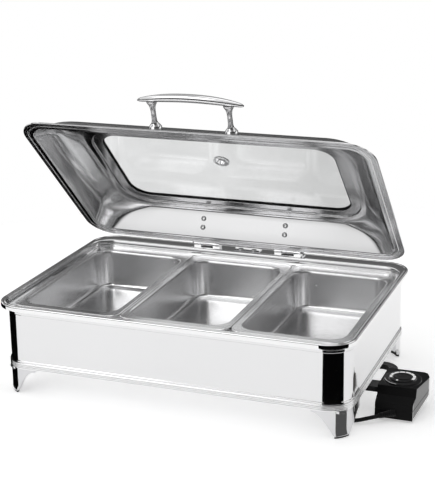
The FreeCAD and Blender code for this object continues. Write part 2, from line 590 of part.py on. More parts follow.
EXIT = V(299.0, -100.5, 10.2)
EXIT_DIR = V(-0.84, -0.53, -0.12).normalize()
gland = Part.makeCone(5.6, 4.0, 24.0, EXIT - EXIT_DIR * 24, EXIT_DIR)
gland = gland.cut(case)
gland = sorted(gland.Solids, key=lambda s: s.CenterOfMass.y)[0]
control_base = control_base.cut(gland)
LEAD = [
    tuple(EXIT),
    tuple(EXIT + EXIT_DIR * 18),
    (265.0, -118.5, 4.6),
    (237.0, -117.5, 3.2),
    (217.0, -94.5, 3.05),
    (212.0, -58.0, 3.05),
    (216.0, -4.0, 3.05),
    (212.0, 54.0, 3.05),
    (216.0, 113.0, 3.05),
    (213.0, 171.0, 3.05),
    (206.0, 218.0, 3.05),
    (182.0, 250.0, 3.05),
    (146.0, 259.0, 3.05),
]
lead, lead_len = uncoiled(LEAD, CORD_R)
COIL_C, COIL_R, COIL_TURNS = (128.0, 292.0), 33.0, 5
coil = turned([(COIL_R - 2 * CORD_R, 0), (COIL_R + 2 * CORD_R, 0), (COIL_R + 2 * CORD_R, 12.0),
               (COIL_R + CORD_R, 18.0), (COIL_R - CORD_R, 18.0), (COIL_R - 2 * CORD_R, 12.0)],
              V(COIL_C[0], COIL_C[1], 0), V(0, 0, 1))
lead = lead.cut(coil)
lead = sorted(lead.Solids, key=lambda s: -s.Volume)[0]
parts["control_base"] = control_base
parts["control_cover"] = control_cover
parts["cord_gland"] = gland
parts["mains_lead"] = lead
parts["lead_coil"] = coil

PLUG_R = 18.0
plug_end = V(72.0, 255.0, PLUG_R)
plug = turned([(0, 0), (5.0, 0), (6.5, 14), (9.0, 18), (13.5, 24), (PLUG_R, 34), (PLUG_R, 50), (0, 50)],
              plug_end, V(-1, 0, 0))
pins = []
for dy in (-9.5, 9.5):
    pins.append(rod(plug_end + V(-45, dy, 0), V(-1, 0, 0), 2.4, 24))
plug = plug.cut(Part.makeCompound(pins))
parts["plug_body"] = plug
parts["plug_pins"] = Part.makeCompound(pins)
TAIL = [
    (72.0, 255.0, PLUG_R),
    (92.0, 255.0, 17.2),
    (110.0, 258.0, 15.0),
    (128.0, 259.5, 14.0),
]
lead_tail, tail_len = uncoiled(TAIL, CORD_R)
lead_tail = lead_tail.cut(coil)
parts["lead_tail"] = sorted(lead_tail.Solids, key=lambda s: s.CenterOfMass.x)[0]
coil_len = 2 * math.pi * COIL_R * COIL_TURNS
print("lead total", round(lead_len + tail_len + coil_len, 1))

middle = V((BOX_X1 - RIM_W / 2) / 2, (RIM_Y0 + RIM_Y1) / 2, 0)
for name, shape in parts.items():
    shape.translate(-middle)
    shape.exportStep("parts/" + name + ".step")
    box = shape.BoundBox
    print(name, len(shape.Solids), "valid" if shape.isValid() else "INVALID", round(shape.Volume, 1),
          [round(v, 1) for v in (box.XMin, box.XMax, box.YMin, box.YMax, box.ZMin, box.ZMax)])
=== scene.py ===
import bpy
import json
import math
from mathutils import Matrix, Vector


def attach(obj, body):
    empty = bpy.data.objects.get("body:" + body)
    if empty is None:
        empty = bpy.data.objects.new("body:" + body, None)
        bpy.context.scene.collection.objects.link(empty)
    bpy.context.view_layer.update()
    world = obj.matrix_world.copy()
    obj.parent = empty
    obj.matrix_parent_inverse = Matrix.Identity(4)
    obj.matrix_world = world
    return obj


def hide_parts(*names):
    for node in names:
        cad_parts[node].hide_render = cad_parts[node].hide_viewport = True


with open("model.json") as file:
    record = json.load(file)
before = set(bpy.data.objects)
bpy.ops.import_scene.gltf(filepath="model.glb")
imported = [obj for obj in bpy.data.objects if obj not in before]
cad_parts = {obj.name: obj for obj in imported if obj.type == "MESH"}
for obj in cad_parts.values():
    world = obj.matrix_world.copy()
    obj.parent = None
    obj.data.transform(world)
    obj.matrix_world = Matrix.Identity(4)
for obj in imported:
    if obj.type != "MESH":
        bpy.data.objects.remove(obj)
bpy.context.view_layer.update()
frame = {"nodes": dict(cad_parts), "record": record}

# ---------------------------------------------------------------------------
# Frame. Sizes are in millimetres about the middle of the body; at() turns them
# into metres in the CAD frame, whose origin is under the whole server's middle.
# ---------------------------------------------------------------------------
MM = 0.001
MIDDLE_X, MIDDLE_Y = 38.5, 2.75
PIVOT_Y, PIVOT_Z, LID_OPEN = 181.0, 157.0, math.radians(44.0)


def at(x, y, z):
    return Vector(((x - MIDDLE_X) * MM, (y - MIDDLE_Y) * MM, z * MM))


def lid_at(x, y, z):
    """A point drawn with the lid closed, swung to where the lid stands."""
    a, b = y - PIVOT_Y, z - PIVOT_Z
    c, s = math.cos(LID_OPEN), math.sin(LID_OPEN)
    return at(x, PIVOT_Y + a * c + b * s, PIVOT_Z - a * s + b * c)


def add_object(name, data):
    """An object in the scene that shows data."""
    obj = bpy.data.objects.new(name, data)
    bpy.context.scene.collection.objects.link(obj)
    return obj


# ---------------------------------------------------------------------------
# Camera
# ---------------------------------------------------------------------------
CAMERA_AT = (694.8, -1785.9, 802.5)
CAMERA_RIGHT = Vector((0.93588, 0.35205, -0.01380))
CAMERA_UP = Vector((-0.09218, 0.28247, 0.95484))
CAMERA_BACK = Vector((0.34005, -0.89234, 0.29681))
LENS, SENSOR = 107.04, 36.0

cam_data = bpy.data.cameras.new("camera")
cam_data.sensor_width = SENSOR
cam_data.sensor_fit = "HORIZONTAL"
cam_data.lens = LENS
cam_data.clip_end = 50.0
camera = add_object("camera", cam_data)
camera.matrix_world = Matrix.Translation(at(*CAMERA_AT)) @ Matrix(
    (CAMERA_RIGHT, CAMERA_UP, CAMERA_BACK)).transposed().to_4x4()
bpy.context.scene.camera = camera


# ---------------------------------------------------------------------------
# Mesh tools
# ---------------------------------------------------------------------------
def add_mesh(name, verts, faces, material, body, place=None, replaces=(), sharp=40.0):
    """Make a mesh object, smooth it up to the sharp angle and hang it on a body."""
    mesh = bpy.data.meshes.new(name)
    mesh.from_pydata([place(*v) if place else v for v in verts], [], faces)
    mesh.validate()
    mesh.update()
    for poly in mesh.polygons:
        poly.use_smooth = True
    mesh.set_sharp_from_angle(angle=math.radians(sharp))
    obj = add_object(name, mesh)
    obj.data.materials.append(material)
    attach(obj, body)
    if replaces:
        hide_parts(*replaces)
    return obj


def grow(rect, d):
    """A round-cornered rectangle (x0, x1, y0, y1, corner radius) made d larger all round."""
    x0, x1, y0, y1, r = rect
    return (x0 - d, x1 + d, y0 - d, y1 + d, max(r + d, 0.3))


def mix(a, b, t):
    """The point t of the way from a to b."""
    return tuple(p + (q - p) * t for p, q in zip(a, b))


CORNER_STEPS, LONG_STEPS, SHORT_STEPS = 14, 10, 6    # points round a corner, along each side
TINY = 1e-6


def ring(rect, z):
    """One loop of points round a round-cornered rectangle."""
    x0, x1, y0, y1, r = rect
    pts = []
    corners = ((x1 - r, y0 + r, -90), (x1 - r, y1 - r, 0), (x0 + r, y1 - r, 90), (x0 + r, y0 + r, 180))
    for k, (cx, cy, start) in enumerate(corners):
        for i in range(CORNER_STEPS + 1):
            a = math.radians(start + 90 * i / CORNER_STEPS)
            pts.append((cx + r * math.cos(a), cy + r * math.sin(a), z))
        nx, ny, nstart = corners[(k + 1) % 4]
        a1 = math.radians(nstart)
        end = (nx + r * math.cos(a1), ny + r * math.sin(a1))
        here = pts[-1]
        steps = SHORT_STEPS if k % 2 == 0 else LONG_STEPS
        for i in range(1, steps):
            t = i / steps
            pts.append((here[0] + (end[0] - here[0]) * t, here[1] + (end[1] - here[1]) * t, z))
    return pts


def soften(profile, steps=5):
    """Round the corners of a profile of (rect, z, bend). bend is how far back from the
    corner the rounding starts, in mm."""
    out = []
    n = len(profile)
    for i, (rect, z, bend) in enumerate(profile):
        if bend <= 0:
            out.append((rect, z))
            continue
        prev, nxt = profile[(i - 1) % n], profile[(i + 1) % n]
        here = (*rect, z)
        for side, other in ((0, prev), (1, nxt)):
            far = (*other[0], other[1])
            dist = math.hypot(far[1] - here[1], far[5] - here[5])
            dist = max(dist, abs(far[2] - here[2]), TINY)
            point = mix(here, far, min(bend / dist, 0.5))
            if side == 0:
                start = point
            else:
                end = point
        for k in range(steps + 1):
            t = k / steps
            p = mix(mix(start, here, t), mix(here, end, t), t)
            out.append((p[:5], p[5]))
    return out


def loft(profile, closed=True, cap_start=False, cap_end=False):
    """Verts and faces of a skin through rings; closed joins the last ring to the first."""
    verts, faces = [], []
    for rect, z in profile:
        verts += ring(rect, z)
    n = len(verts) // len(profile)
    rows = len(profile)
    for j in range(rows if closed else rows - 1):
        a, b = j * n, ((j + 1) % rows) * n
        for i in range(n):
            k = (i + 1) % n
            faces.append((a + i, a + k, b + k, b + i))
    if cap_start:
        faces.append(tuple(reversed(range(n))))
    if cap_end:
        faces.append(tuple(range((rows - 1) * n, rows * n)))
    return verts, faces


def lathe(profile, steps=64, ribs=None):
    """Verts and faces of a turned part about Z from (radius, height) pairs, axis to axis.
    ribs = (count, depth, lowest radius, highest radius) flutes the rows between two radii."""
    verts, faces = [], []
    rows = []
    for r, h in profile:
        if r < TINY:
            rows.append([len(verts)])
            verts.append((0, 0, h))
        else:
            rows.append(list(range(len(verts), len(verts) + steps)))
            for i in range(steps):
                a = 2 * math.pi * i / steps
                cut = 0.0
                if ribs and ribs[2] < r < ribs[3]:
                    cut = ribs[1] * max(0.0, math.cos(ribs[0] * a))
                verts.append(((r - cut) * math.cos(a), (r - cut) * math.sin(a), h))
    for a, b in zip(rows, rows[1:]):
        for i in range(steps):
            k = (i + 1) % steps
            if len(a) == 1 and len(b) == 1:
                continue
            if len(a) == 1:
                faces.append((a[0], b[k], b[i]))
            elif len(b) == 1:
                faces.append((a[i], a[k], b[0]))
            else:
                faces.append((a[i], a[k], b[k], b[i]))
    return verts, faces


def curve_points(corners, steps=5):
    """Round a (radius, height, bend) profile into (radius, height) pairs."""
    out = []
    for i, (r, h, bend) in enumerate(corners):
        if bend <= 0 or i in (0, len(corners) - 1):
            out.append((r, h))
            continue
        ends = []
        for other in (corners[i - 1], corners[i + 1]):
            d = math.hypot(other[0] - r, other[1] - h)
            ends.append(mix((r, h), other[:2], min(bend / max(d, TINY), 0.5)))
        for k in range(steps + 1):
            t = k / steps
            out.append(mix(mix(ends[0], (r, h), t), mix((r, h), ends[1], t), t))
    return out


def turn_to(origin, axis):
    """A placement that stands a turned part's Z axis along axis at origin."""
    rot = Vector((0, 0, 1)).rotation_difference(Vector(axis).normalized()).to_matrix()
    base = Vector(origin)
    return lambda x, y, z: base + rot @ Vector((x, y, z))


def through(*steps):
    """Placements one after another."""
    def run(x, y, z):
        p = (x, y, z)
        for step in steps:
            p = step(*p)
        return p
    return run


def join(pieces):
    """Verts and faces of several meshes as one."""
    verts, faces = [], []
    for v, f in pieces:
        faces += [tuple(k + len(verts) for k in q) for q in f]
        verts += v
    return verts, faces


# ---------------------------------------------------------------------------
# Materials
# ---------------------------------------------------------------------------
def new_material(name):
    mat = bpy.data.materials.new(name)
    mat.use_nodes = True
    nodes, links = mat.node_tree.nodes, mat.node_tree.links
    return mat, nodes, links, nodes["Principled BSDF"]


def noise(nodes, links, coords, scale, detail, stretch=(1, 1, 1)):
    """Noise in the piece's own coordinates, stretched along the grain."""
    mapping = nodes.new("ShaderNodeMapping")
    mapping.inputs["Scale"].default_value = stretch
    links.new(coords.outputs["Object"], mapping.inputs["Vector"])
    tex = nodes.new("ShaderNodeTexNoise")
    tex.inputs["Scale"].default_value = scale
    tex.inputs["Detail"].default_value = detail
    links.new(mapping.outputs["Vector"], tex.inputs["Vector"])
    return tex


NOISE_LOW, NOISE_HIGH = 0.3, 0.7     # where nearly all of a noise texture's values lie


def to_range(nodes, links, socket, low, high):
    """A noise value spread over low to high."""
    rng = nodes.new("ShaderNodeMapRange")
    rng.inputs["From Min"].default_value = NOISE_LOW
    rng.inputs["From Max"].default_value = NOISE_HIGH
    rng.inputs["To Min"].default_value = low
    rng.inputs["To Max"].default_value = high
    links.new(socket, rng.inputs["Value"])
    return rng.outputs["Result"]


def feed(links, source, target):
    """Give a socket a fixed colour or number, or link another socket to it."""
    if isinstance(source, bpy.types.NodeSocket):
        links.new(source, target)
    elif isinstance(source, (tuple, list)):
        target.default_value = (*source, 1)
    else:
        target.default_value = source


def blend(nodes, links, factor, first, second):
    """A colour from first to second as factor goes from 0 to 1."""
    node = nodes.new("ShaderNodeMix")
    node.data_type = "RGBA"
    for socket, source in zip((node.inputs[0], node.inputs[6], node.inputs[7]), (factor, first, second)):
        feed(links, source, socket)
    return node.outputs[2]


def calculate(nodes, links, operation, *values):
    """A math node's result."""
    node = nodes.new("ShaderNodeMath")
    node.operation = operation
    for socket, value in zip(node.inputs, values):
        feed(links, value, socket)
    return node.outputs[0]


SKIN_DEPTH = 0.0002      # m


def rough_skin(nodes, links, bsdf, strength, height):
    """Raise the surface a little by a height texture."""
    bumper = nodes.new("ShaderNodeBump")
    bumper.inputs["Strength"].default_value = strength
    bumper.inputs["Distance"].default_value = SKIN_DEPTH
    links.new(height, bumper.inputs["Height"])
    links.new(bumper.outputs["Normal"], bsdf.inputs["Normal"])


def glow(bsdf, strength):
    """White emission added to a material."""
    bsdf.inputs["Emission Color"].default_value = (1, 1, 1, 1)
    bsdf.inputs["Emission Strength"].default_value = strength


CLOUD_SCALE, CLOUD_TINT = 9.0, 0.965
GRAIN_SCALE, GRAIN_SHARE = 260.0, 0.55


def metal(name, color, rough, spread, grain, bump, edge=1.0):
    """Sheet metal: base tint with slow cloudiness, fine drawn grain in roughness and bump.
    edge is how much of its colour the metal keeps at a glancing angle."""
    mat, nodes, links, bsdf = new_material(name)
    bsdf.inputs["Metallic"].default_value = 1.0
    bsdf.inputs["Specular Tint"].default_value = (edge, edge, edge, 1)
    coords = nodes.new("ShaderNodeTexCoord")
    cloud = noise(nodes, links, coords, CLOUD_SCALE, 3.0).outputs["Fac"]
    faint = tuple(c * CLOUD_TINT for c in color)
    links.new(blend(nodes, links, cloud, faint, color), bsdf.inputs["Base Color"])
    fine = noise(nodes, links, coords, GRAIN_SCALE, 4.0, grain).outputs["Fac"]
    slow = calculate(nodes, links, "MULTIPLY", cloud, 1.0 - GRAIN_SHARE)
    both = calculate(nodes, links, "MULTIPLY_ADD", fine, GRAIN_SHARE, slow)
    links.new(to_range(nodes, links, both, rough - spread, rough + spread), bsdf.inputs["Roughness"])
    rough_skin(nodes, links, bsdf, bump, fine)
    return mat


def moulded(name, color, rough, grain_scale, bump, specular=0.5, side_rough=None):
    """Moulded plastic or rubber: fine leathery grain and slight tone changes. side_rough
    is the roughness of faces turned to the left or right, where the mould was polished."""
    mat, nodes, links, bsdf = new_material(name)
    bsdf.inputs["Specular IOR Level"].default_value = specular
    coords = nodes.new("ShaderNodeTexCoord")
    cloud = noise(nodes, links, coords, 30.0, 3.0).outputs["Fac"]
    dark, light = (tuple(c * share for c in color) for share in (0.8, 1.15))
    links.new(blend(nodes, links, cloud, dark, light), bsdf.inputs["Base Color"])
    cells = nodes.new("ShaderNodeTexVoronoi")
    cells.inputs["Scale"].default_value = grain_scale
    links.new(coords.outputs["Object"], cells.inputs["Vector"])
    finish = to_range(nodes, links, cloud, rough - 0.05, rough + 0.05)
    if side_rough is not None:
        split = nodes.new("ShaderNodeSeparateXYZ")
        links.new(coords.outputs["Normal"], split.inputs[0])
        sideways = calculate(nodes, links, "ABSOLUTE", split.outputs["X"])
        polish = nodes.new("ShaderNodeMix")
        polish.data_type = "FLOAT"
        for socket, source in zip(polish.inputs[:1] + polish.inputs[2:4], (sideways, finish, side_rough)):
            feed(links, source, socket)
        finish = polish.outputs[0]
        links.new(sideways, bsdf.inputs["Coat Weight"])
        bsdf.inputs["Coat Roughness"].default_value = side_rough
    links.new(finish, bsdf.inputs["Roughness"])
    rough_skin(nodes, links, bsdf, bump, cells.outputs["Distance"])
    return mat


SHADE_RAMP_FROM, SHADE_RAMP_TO = -0.09, 0.165    # across the window, m


def make_glass(name):
    """Clear glass with slow haze, and painted shade that darkens its tint towards the right."""
    mat, nodes, links, bsdf = new_material(name)
    bsdf.inputs["Transmission Weight"].default_value = 1.0
    bsdf.inputs["IOR"].default_value = 1.45
    coords = nodes.new("ShaderNodeTexCoord")
    haze = noise(nodes, links, coords, 14.0, 3.0).outputs["Fac"]
    tint = blend(nodes, links, haze, (0.80, 0.81, 0.81), (0.88, 0.885, 0.885))
    place = nodes.new("ShaderNodeSeparateXYZ")
    links.new(coords.outputs["Object"], place.inputs[0])
    # painted shade: the glass tint darkens from left to right across the window
    shade_ramp = nodes.new("ShaderNodeMapRange")
    shade_ramp.interpolation_type = "SMOOTHSTEP"
    shade_ramp.inputs["From Min"].default_value = SHADE_RAMP_FROM
    shade_ramp.inputs["From Max"].default_value = SHADE_RAMP_TO
    links.new(place.outputs["X"], shade_ramp.inputs["Value"])
    shaded_tint = blend(nodes, links, shade_ramp.outputs["Result"], tint, (0.66, 0.665, 0.665))
    links.new(shaded_tint, bsdf.inputs["Base Color"])
    links.new(to_range(nodes, links, haze, 0.0, 0.03), bsdf.inputs["Roughness"])
    return mat


# name, colour, roughness and its spread, grain direction, bump (and edge colour)
STEEL = metal("polished_stainless", (0.75, 0.75, 0.755), 0.07, 0.025, (1, 1, 8), 0.010)
# the lid's stainless is a darker copy of the body's: its lower colour is painted shade, its rougher finish is
# real
LID_STEEL_SHADED = metal("lid_stainless_shaded", (0.62, 0.62, 0.625), 0.15, 0.03, (1, 1, 6), 0.008)
RIM = metal("rim_stainless", (0.84, 0.84, 0.845), 0.08, 0.03, (8, 1, 1), 0.010)
SATIN = metal("satin_stainless", (0.84, 0.84, 0.845), 0.24, 0.04, (1, 8, 1), 0.020)
CAST = metal("cast_foot_steel", (0.66, 0.66, 0.67), 0.12, 0.04, (1, 1, 1), 0.03)
BRIGHT = metal("bright_steel", (0.88, 0.88, 0.885), 0.05, 0.02, (8, 1, 1), 0.008)
HANDLE = metal("handle_steel", (0.74, 0.74, 0.745), 0.06, 0.02, (8, 1, 1), 0.006, 0.0)
ALUMINIUM = metal("heater_aluminium", (0.72, 0.72, 0.73), 0.38, 0.08, (1, 1, 1), 0.20)
SHEATH = metal("element_sheath", (0.36, 0.34, 0.32), 0.42, 0.08, (1, 1, 1), 0.15)
ZINC = metal("zinc_screw", (0.68, 0.69, 0.70), 0.28, 0.06, (1, 1, 1), 0.10)
ROD_STEEL_SHADED = metal("rod_steel_painted_shade", (0.30, 0.30, 0.305), 0.22, 0.05, (8, 1, 1), 0.05)
SCREW = metal("screw_steel", (0.50, 0.50, 0.505), 0.14, 0.04, (1, 1, 1), 0.03)
# name, colour, roughness, grain scale, bump, specular, roughness of the sides
PLASTIC = moulded("black_plastic", (0.006, 0.006, 0.0065), 0.34, 1400.0, 0.10, 0.12)
BOX_PLASTIC = moulded("box_plastic", (0.004, 0.004, 0.0043), 0.46, 1100.0, 0.22, 0.09, 0.06)
ENAMEL = moulded("black_enamel", (0.005, 0.005, 0.0055), 0.30, 900.0, 0.08, 0.15)
RUBBER = moulded("black_rubber", (0.008, 0.008, 0.0085), 0.48, 1100.0, 0.12, 0.12)
PRINT_WITH_PAINTED_GLOW = moulded("white_print", (0.90, 0.90, 0.90), 0.5, 900.0, 0.05)
# painted glow: the white print emits light of its own, though it is no lamp
glow(PRINT_WITH_PAINTED_GLOW.node_tree.nodes["Principled BSDF"], 0.25)
CERAMIC = moulded("pale_ceramic", (0.78, 0.75, 0.68), 0.45, 700.0, 0.10)
GLASS = make_glass("clear_glass")

SLOT_MATERIAL = {
    "polished_stainless": STEEL, "satin_stainless": SATIN, "bright_steel": BRIGHT,
    "cast_steel": CAST, "clear_glass": GLASS, "black_rubber": RUBBER, "black_plastic": PLASTIC,
    "white_print": PRINT_WITH_PAINTED_GLOW, "heater_aluminium": ALUMINIUM, "element_sheath": SHEATH,
    "black_enamel": ENAMEL, "zinc_screw": ZINC, "pale_ceramic": CERAMIC,
}
for part in frame["record"]["subparts"]:
    obj = frame["nodes"][part["node"]]
    obj.data.materials.clear()
    obj.data.materials.append(SLOT_MATERIAL[part["material_slot"]])


def break_edges(obj, width, angle):
    """Round an object's hard edges."""
    bevel = obj.modifiers.new("edge", "BEVEL")
    bevel.width = width * MM
    bevel.segments = 3
    bevel.limit_method = "ANGLE"
    bevel.angle_limit = math.radians(angle)
    return bevel


def soften_cad(node, width, angle=35.0):
    """Break a kept CAD node's hard edges."""
    break_edges(frame["nodes"][node], width, angle).harden_normals = True


# ---------------------------------------------------------------------------
# Body: skirt, band, feet
# ---------------------------------------------------------------------------
BODY = (-273.5, 273.5, -179.5, 179.5, 38.5)
SHEET = 1.2
SKIRT_LOW, SKIRT_TOP, SKIRT_LIP = 46.5, 135.8, 8.0       # the top edge turns in by the lip
PANEL_LOW, PANEL_TOP, PANEL_SUNK = 54.6, 130.4, 0.9      # the faces are pressed in a little
skirt_profile = [
    (BODY, SKIRT_LOW, 0.3), (BODY, PANEL_LOW, 0.2), (grow(BODY, -PANEL_SUNK), PANEL_LOW + PANEL_SUNK, 0.2),
    (grow(BODY, -PANEL_SUNK), PANEL_TOP - PANEL_SUNK, 0.2), (BODY, PANEL_TOP, 0.2), (BODY, SKIRT_TOP, 1.0),
    (grow(BODY, -SKIRT_LIP), SKIRT_TOP, 0.3), (grow(BODY, -SKIRT_LIP), SKIRT_TOP - SHEET, 0.3),
    (grow(BODY, -SHEET - PANEL_SUNK), SKIRT_TOP - SHEET, 0.4),
    (grow(BODY, -SHEET - PANEL_SUNK), SKIRT_LOW, 0.3),
]
v, f = loft(soften(skirt_profile, 4))
add_mesh("skirt", v, f, STEEL, "frame", at, ["body_skirt"])

FOOT_TOP, BAND_TOP, BAND_PROUD, GROOVE_LEFT = 42.5, 52.5, 1.6, 0.4
band_steps = [(0.0, FOOT_TOP, 0.2), (BAND_PROUD, FOOT_TOP, 0.5)]
for z in (44.3, 46.6, 48.9):
    band_steps += [(BAND_PROUD, z, 0.2), (GROOVE_LEFT, z + 0.45, 0.1),
                   (GROOVE_LEFT, z + 0.75, 0.1), (BAND_PROUD, z + 1.2, 0.2)]
band_steps += [(BAND_PROUD, BAND_TOP - 0.9, 0.4), (0.9, BAND_TOP, 0.3), (0.0, BAND_TOP, 0.1)]
v, f = loft(soften([(grow(BODY, d), z, b) for d, z, b in band_steps], 3))
add_mesh("band", v, f, SATIN, "frame", at, ["base_band"], 30)

FOOT_T, FOOT_BOTTOM = 6.0, 3.0                          # wall, height above the table
WING_X, WING_Y, TOE_X, TOE_Y = 55.0, 66.0, 21.5, 24.0   # reach of the wings and of the toe
WING_DROP_X, WING_DROP_Y = 4.0, 16.0                    # how deep a wing's far end hangs
KICK, KICK_HEIGHT = 1.7, 9.0                            # the toe flares out at the table


def foot_path(n_flat=16, n_arc=26):
    """Stations round the front-left body corner: outer point, outward normal, wing."""
    r = BODY[4]
    cx, cy = BODY[0] + r, BODY[2] + r
    out = []
    for i in range(n_flat):
        x = BODY[0] + WING_X - (WING_X - r) * i / n_flat
        out.append(((x, BODY[2]), (0, -1), "front"))
    for i in range(n_arc + 1):
        a = math.radians(270 - 90 * i / n_arc)
        p = (cx + r * math.cos(a), cy + r * math.sin(a))
        out.append((p, (math.cos(a), math.sin(a)), "front" if i <= n_arc / 2 else "side"))
    for i in range(1, n_flat + 1):
        y = BODY[2] + r + (WING_Y - r) * i / n_flat
        out.append(((BODY[0], y), (-1, 0), "side"))
    return out


def low_edge(p, side):
    """Height of the foot's hollow lower edge at a station."""
    if side == "front":
        t, toe, reach, drop = p[0] - BODY[0], TOE_X, WING_X, WING_DROP_X
    else:
        t, toe, reach, drop = p[1] - BODY[2], TOE_Y, WING_Y, WING_DROP_Y
    if t <= toe:
        return FOOT_BOTTOM
    u = min((t - toe) / (reach - toe), 1.0)
    high = FOOT_TOP - drop - FOOT_BOTTOM
    return FOOT_BOTTOM + high * math.sin(u * math.pi / 2) ** 0.9


def foot_mesh(sx, sy):
    """A foot at the corner with the signs sx, sy: an outer and an inner skin, then a screw tab."""
    path = foot_path()
    rows = 14
    verts, faces, grids = [], [], []
    for layer in (0, 1):
        grid = []
        for p, nrm, side in path:
            low = low_edge(p, side)
            col = []
            for k in range(rows + 1):
                z = low + (FOOT_TOP - low) * k / rows
                inset = KICK * max(0.0, 1 - (z - FOOT_BOTTOM) / KICK_HEIGHT) ** 2 - FOOT_T * layer
                if layer == 0 and k == 0:
                    inset -= 0.8
                col.append(len(verts))
                verts.append((sx * (p[0] + nrm[0] * inset), sy * (p[1] + nrm[1] * inset), z))
            grid.append(col)
        grids.append(grid)
    outer, inner = grids
    flip = sx * sy < 0

    def quad(a, b, c, d):
        faces.append((d, c, b, a) if flip else (a, b, c, d))

    for i in range(len(path) - 1):
        for k in range(rows):
            quad(outer[i][k], outer[i + 1][k], outer[i + 1][k + 1], outer[i][k + 1])
            quad(inner[i + 1][k], inner[i][k], inner[i][k + 1], inner[i + 1][k + 1])
        quad(outer[i + 1][0], outer[i][0], inner[i][0], inner[i + 1][0])
        quad(outer[i][rows], outer[i + 1][rows], inner[i + 1][rows], inner[i][rows])
    for i in (0, len(path) - 1):
        for k in range(rows):
            a, b, c, d = outer[i][k], outer[i][k + 1], inner[i][k + 1], inner[i][k]
            if i:
                a, b, c, d = d, c, b, a
            quad(a, b, c, d)
    # the screw tab under the bottom cover
    hx, hy = BODY[0], BODY[2]
    tab = [(5.6, 14), (5.6, 44), (18, 44), (44, 18), (44, 5.6), (14, 5.6)]
    base = len(verts)
    for z in (FOOT_TOP - 4.0, FOOT_TOP - 0.05):
        verts += [(sx * (hx + dx), sy * (hy + dy), z) for dx, dy in tab]
    n = len(tab)
    for i in range(n):
        k = (i + 1) % n
        quad(base + k, base + i, base + n + i, base + n + k)
    lower = [base + i for i in range(n)]
    upper = [base + n + i for i in range(n)]
    faces.append(tuple(lower if not flip else reversed(lower)))
    faces.append(tuple(reversed(upper) if not flip else upper))
    return verts, faces


for name, sx, sy in (("front_left", 1, 1), ("front_right", -1, 1), ("rear_left", 1, -1),
                     ("rear_right", -1, -1)):
    v, f = foot_mesh(sx, sy)
    obj = add_mesh("foot_" + name + "_cast", v, f, CAST, "frame", at, ["foot_" + name])
    break_edges(obj, 0.8, 40.0)
    soften_cad("foot_pad_" + name, 0.6)

# ---------------------------------------------------------------------------
# Water pan
# ---------------------------------------------------------------------------
RIM_EDGE = (-279.0, 279.0, -193.0, 198.5, 41.0)
RECESS = (-270.0, 270.0, -184.0, 170.0, 32.0)
TUB = (-259.5, 259.5, -149.0, 156.0, 34.0)
TUB_LOW = grow(TUB, -8.0)
TUB_FLOOR, LEDGE_TOP, RIM_TOP, LIP_LOW = 60.0, 137.0, 147.7, 140.5
RIM_UNDER = RIM_TOP - 1.3
water_profile = [
    # up the inside and out over the rim, with a bead round its edge
    (grow(TUB_LOW, -12.0), TUB_FLOOR, 0), (TUB_LOW, TUB_FLOOR, 9.0), (TUB, LEDGE_TOP, 2.5),
    (RECESS, LEDGE_TOP, 1.6), (RECESS, RIM_TOP, 1.4), (grow(RIM_EDGE, -6.0), RIM_TOP, 0.2),
    (grow(RIM_EDGE, -5.4), RIM_TOP - 0.6, 0.2), (grow(RIM_EDGE, -4.8), RIM_TOP - 0.6, 0.2),
    (grow(RIM_EDGE, -4.2), RIM_TOP, 0.4), (RIM_EDGE, RIM_TOP, 2.4), (RIM_EDGE, LIP_LOW, 0.5),
    # back under the rim and down the outside
    (grow(RIM_EDGE, -2.2), LIP_LOW, 0.4), (grow(RIM_EDGE, -1.3), RIM_UNDER, 0.8),
    (grow(RECESS, SHEET), RIM_UNDER, 0.8), (grow(RECESS, SHEET), LEDGE_TOP - SHEET, 1.0),
    (grow(TUB, SHEET), LEDGE_TOP - SHEET, 1.5),
    (grow(TUB_LOW, SHEET), TUB_FLOOR - SHEET, 9.0), (grow(TUB_LOW, -12.0), TUB_FLOOR - SHEET, 0),
]
v, f = loft(soften(water_profile, 6), False, True, True)
add_mesh("water_pan_drawn", v, [tuple(reversed(q)) for q in f], RIM,
         "water_pan_group", at, ["water_pan"], 50)

# ---------------------------------------------------------------------------
# Food pans
# ---------------------------------------------------------------------------
PAN_W, PAN_D, PAN_PITCH = 176.0, 325.0, 176.6
PAN_Y, CAVITY_Y, PAN_TOP = 3.5, -1.5, 138.0
CAVITY_W, CAVITY_D = 156.0, 285.0
PAN_SHEET = 1.0
PAN_FLOOR = 74.0
for name, cx in (("left", -PAN_PITCH), ("centre", 0.0), ("right", PAN_PITCH)):
    flange = (cx - PAN_W / 2, cx + PAN_W / 2, PAN_Y - PAN_D / 2, PAN_Y + PAN_D / 2, 18.0)
    cavity = (cx - CAVITY_W / 2, cx + CAVITY_W / 2, CAVITY_Y - CAVITY_D / 2, CAVITY_Y + CAVITY_D / 2, 26.0)
    low = grow(cavity, -5.0)
    pan_profile = [
        # up the inside and out over the flange, which has a raised edge
        (grow(low, -16.0), PAN_FLOOR, 0), (low, PAN_FLOOR, 10.0), (grow(cavity, -1.2), PAN_TOP - 4.0, 2.0),
        (cavity, PAN_TOP - 0.9, 1.8), (grow(cavity, 2.5), PAN_TOP - 0.35, 0.8),
        (grow(flange, -3.4), PAN_TOP - 0.35, 0.3), (grow(flange, -2.8), PAN_TOP, 0.3),
        (grow(flange, -0.9), PAN_TOP, 0.2), (flange, PAN_TOP - 0.8, 0.2),
        # back under it and down the outside
        (flange, PAN_TOP - PAN_SHEET, 0.1), (grow(cavity, 1.4), PAN_TOP - PAN_SHEET, 1.2),
        (grow(low, PAN_SHEET), PAN_FLOOR - PAN_SHEET, 10.0), (grow(low, -16.0), PAN_FLOOR - PAN_SHEET, 0),
    ]
    v, f = loft(soften(pan_profile, 6), False, True, True)
    add_mesh("food_pan_" + name + "_drawn", v, [tuple(reversed(q)) for q in f], SATIN, "pan_" + name,
             at, ["food_pan_" + name], 50)

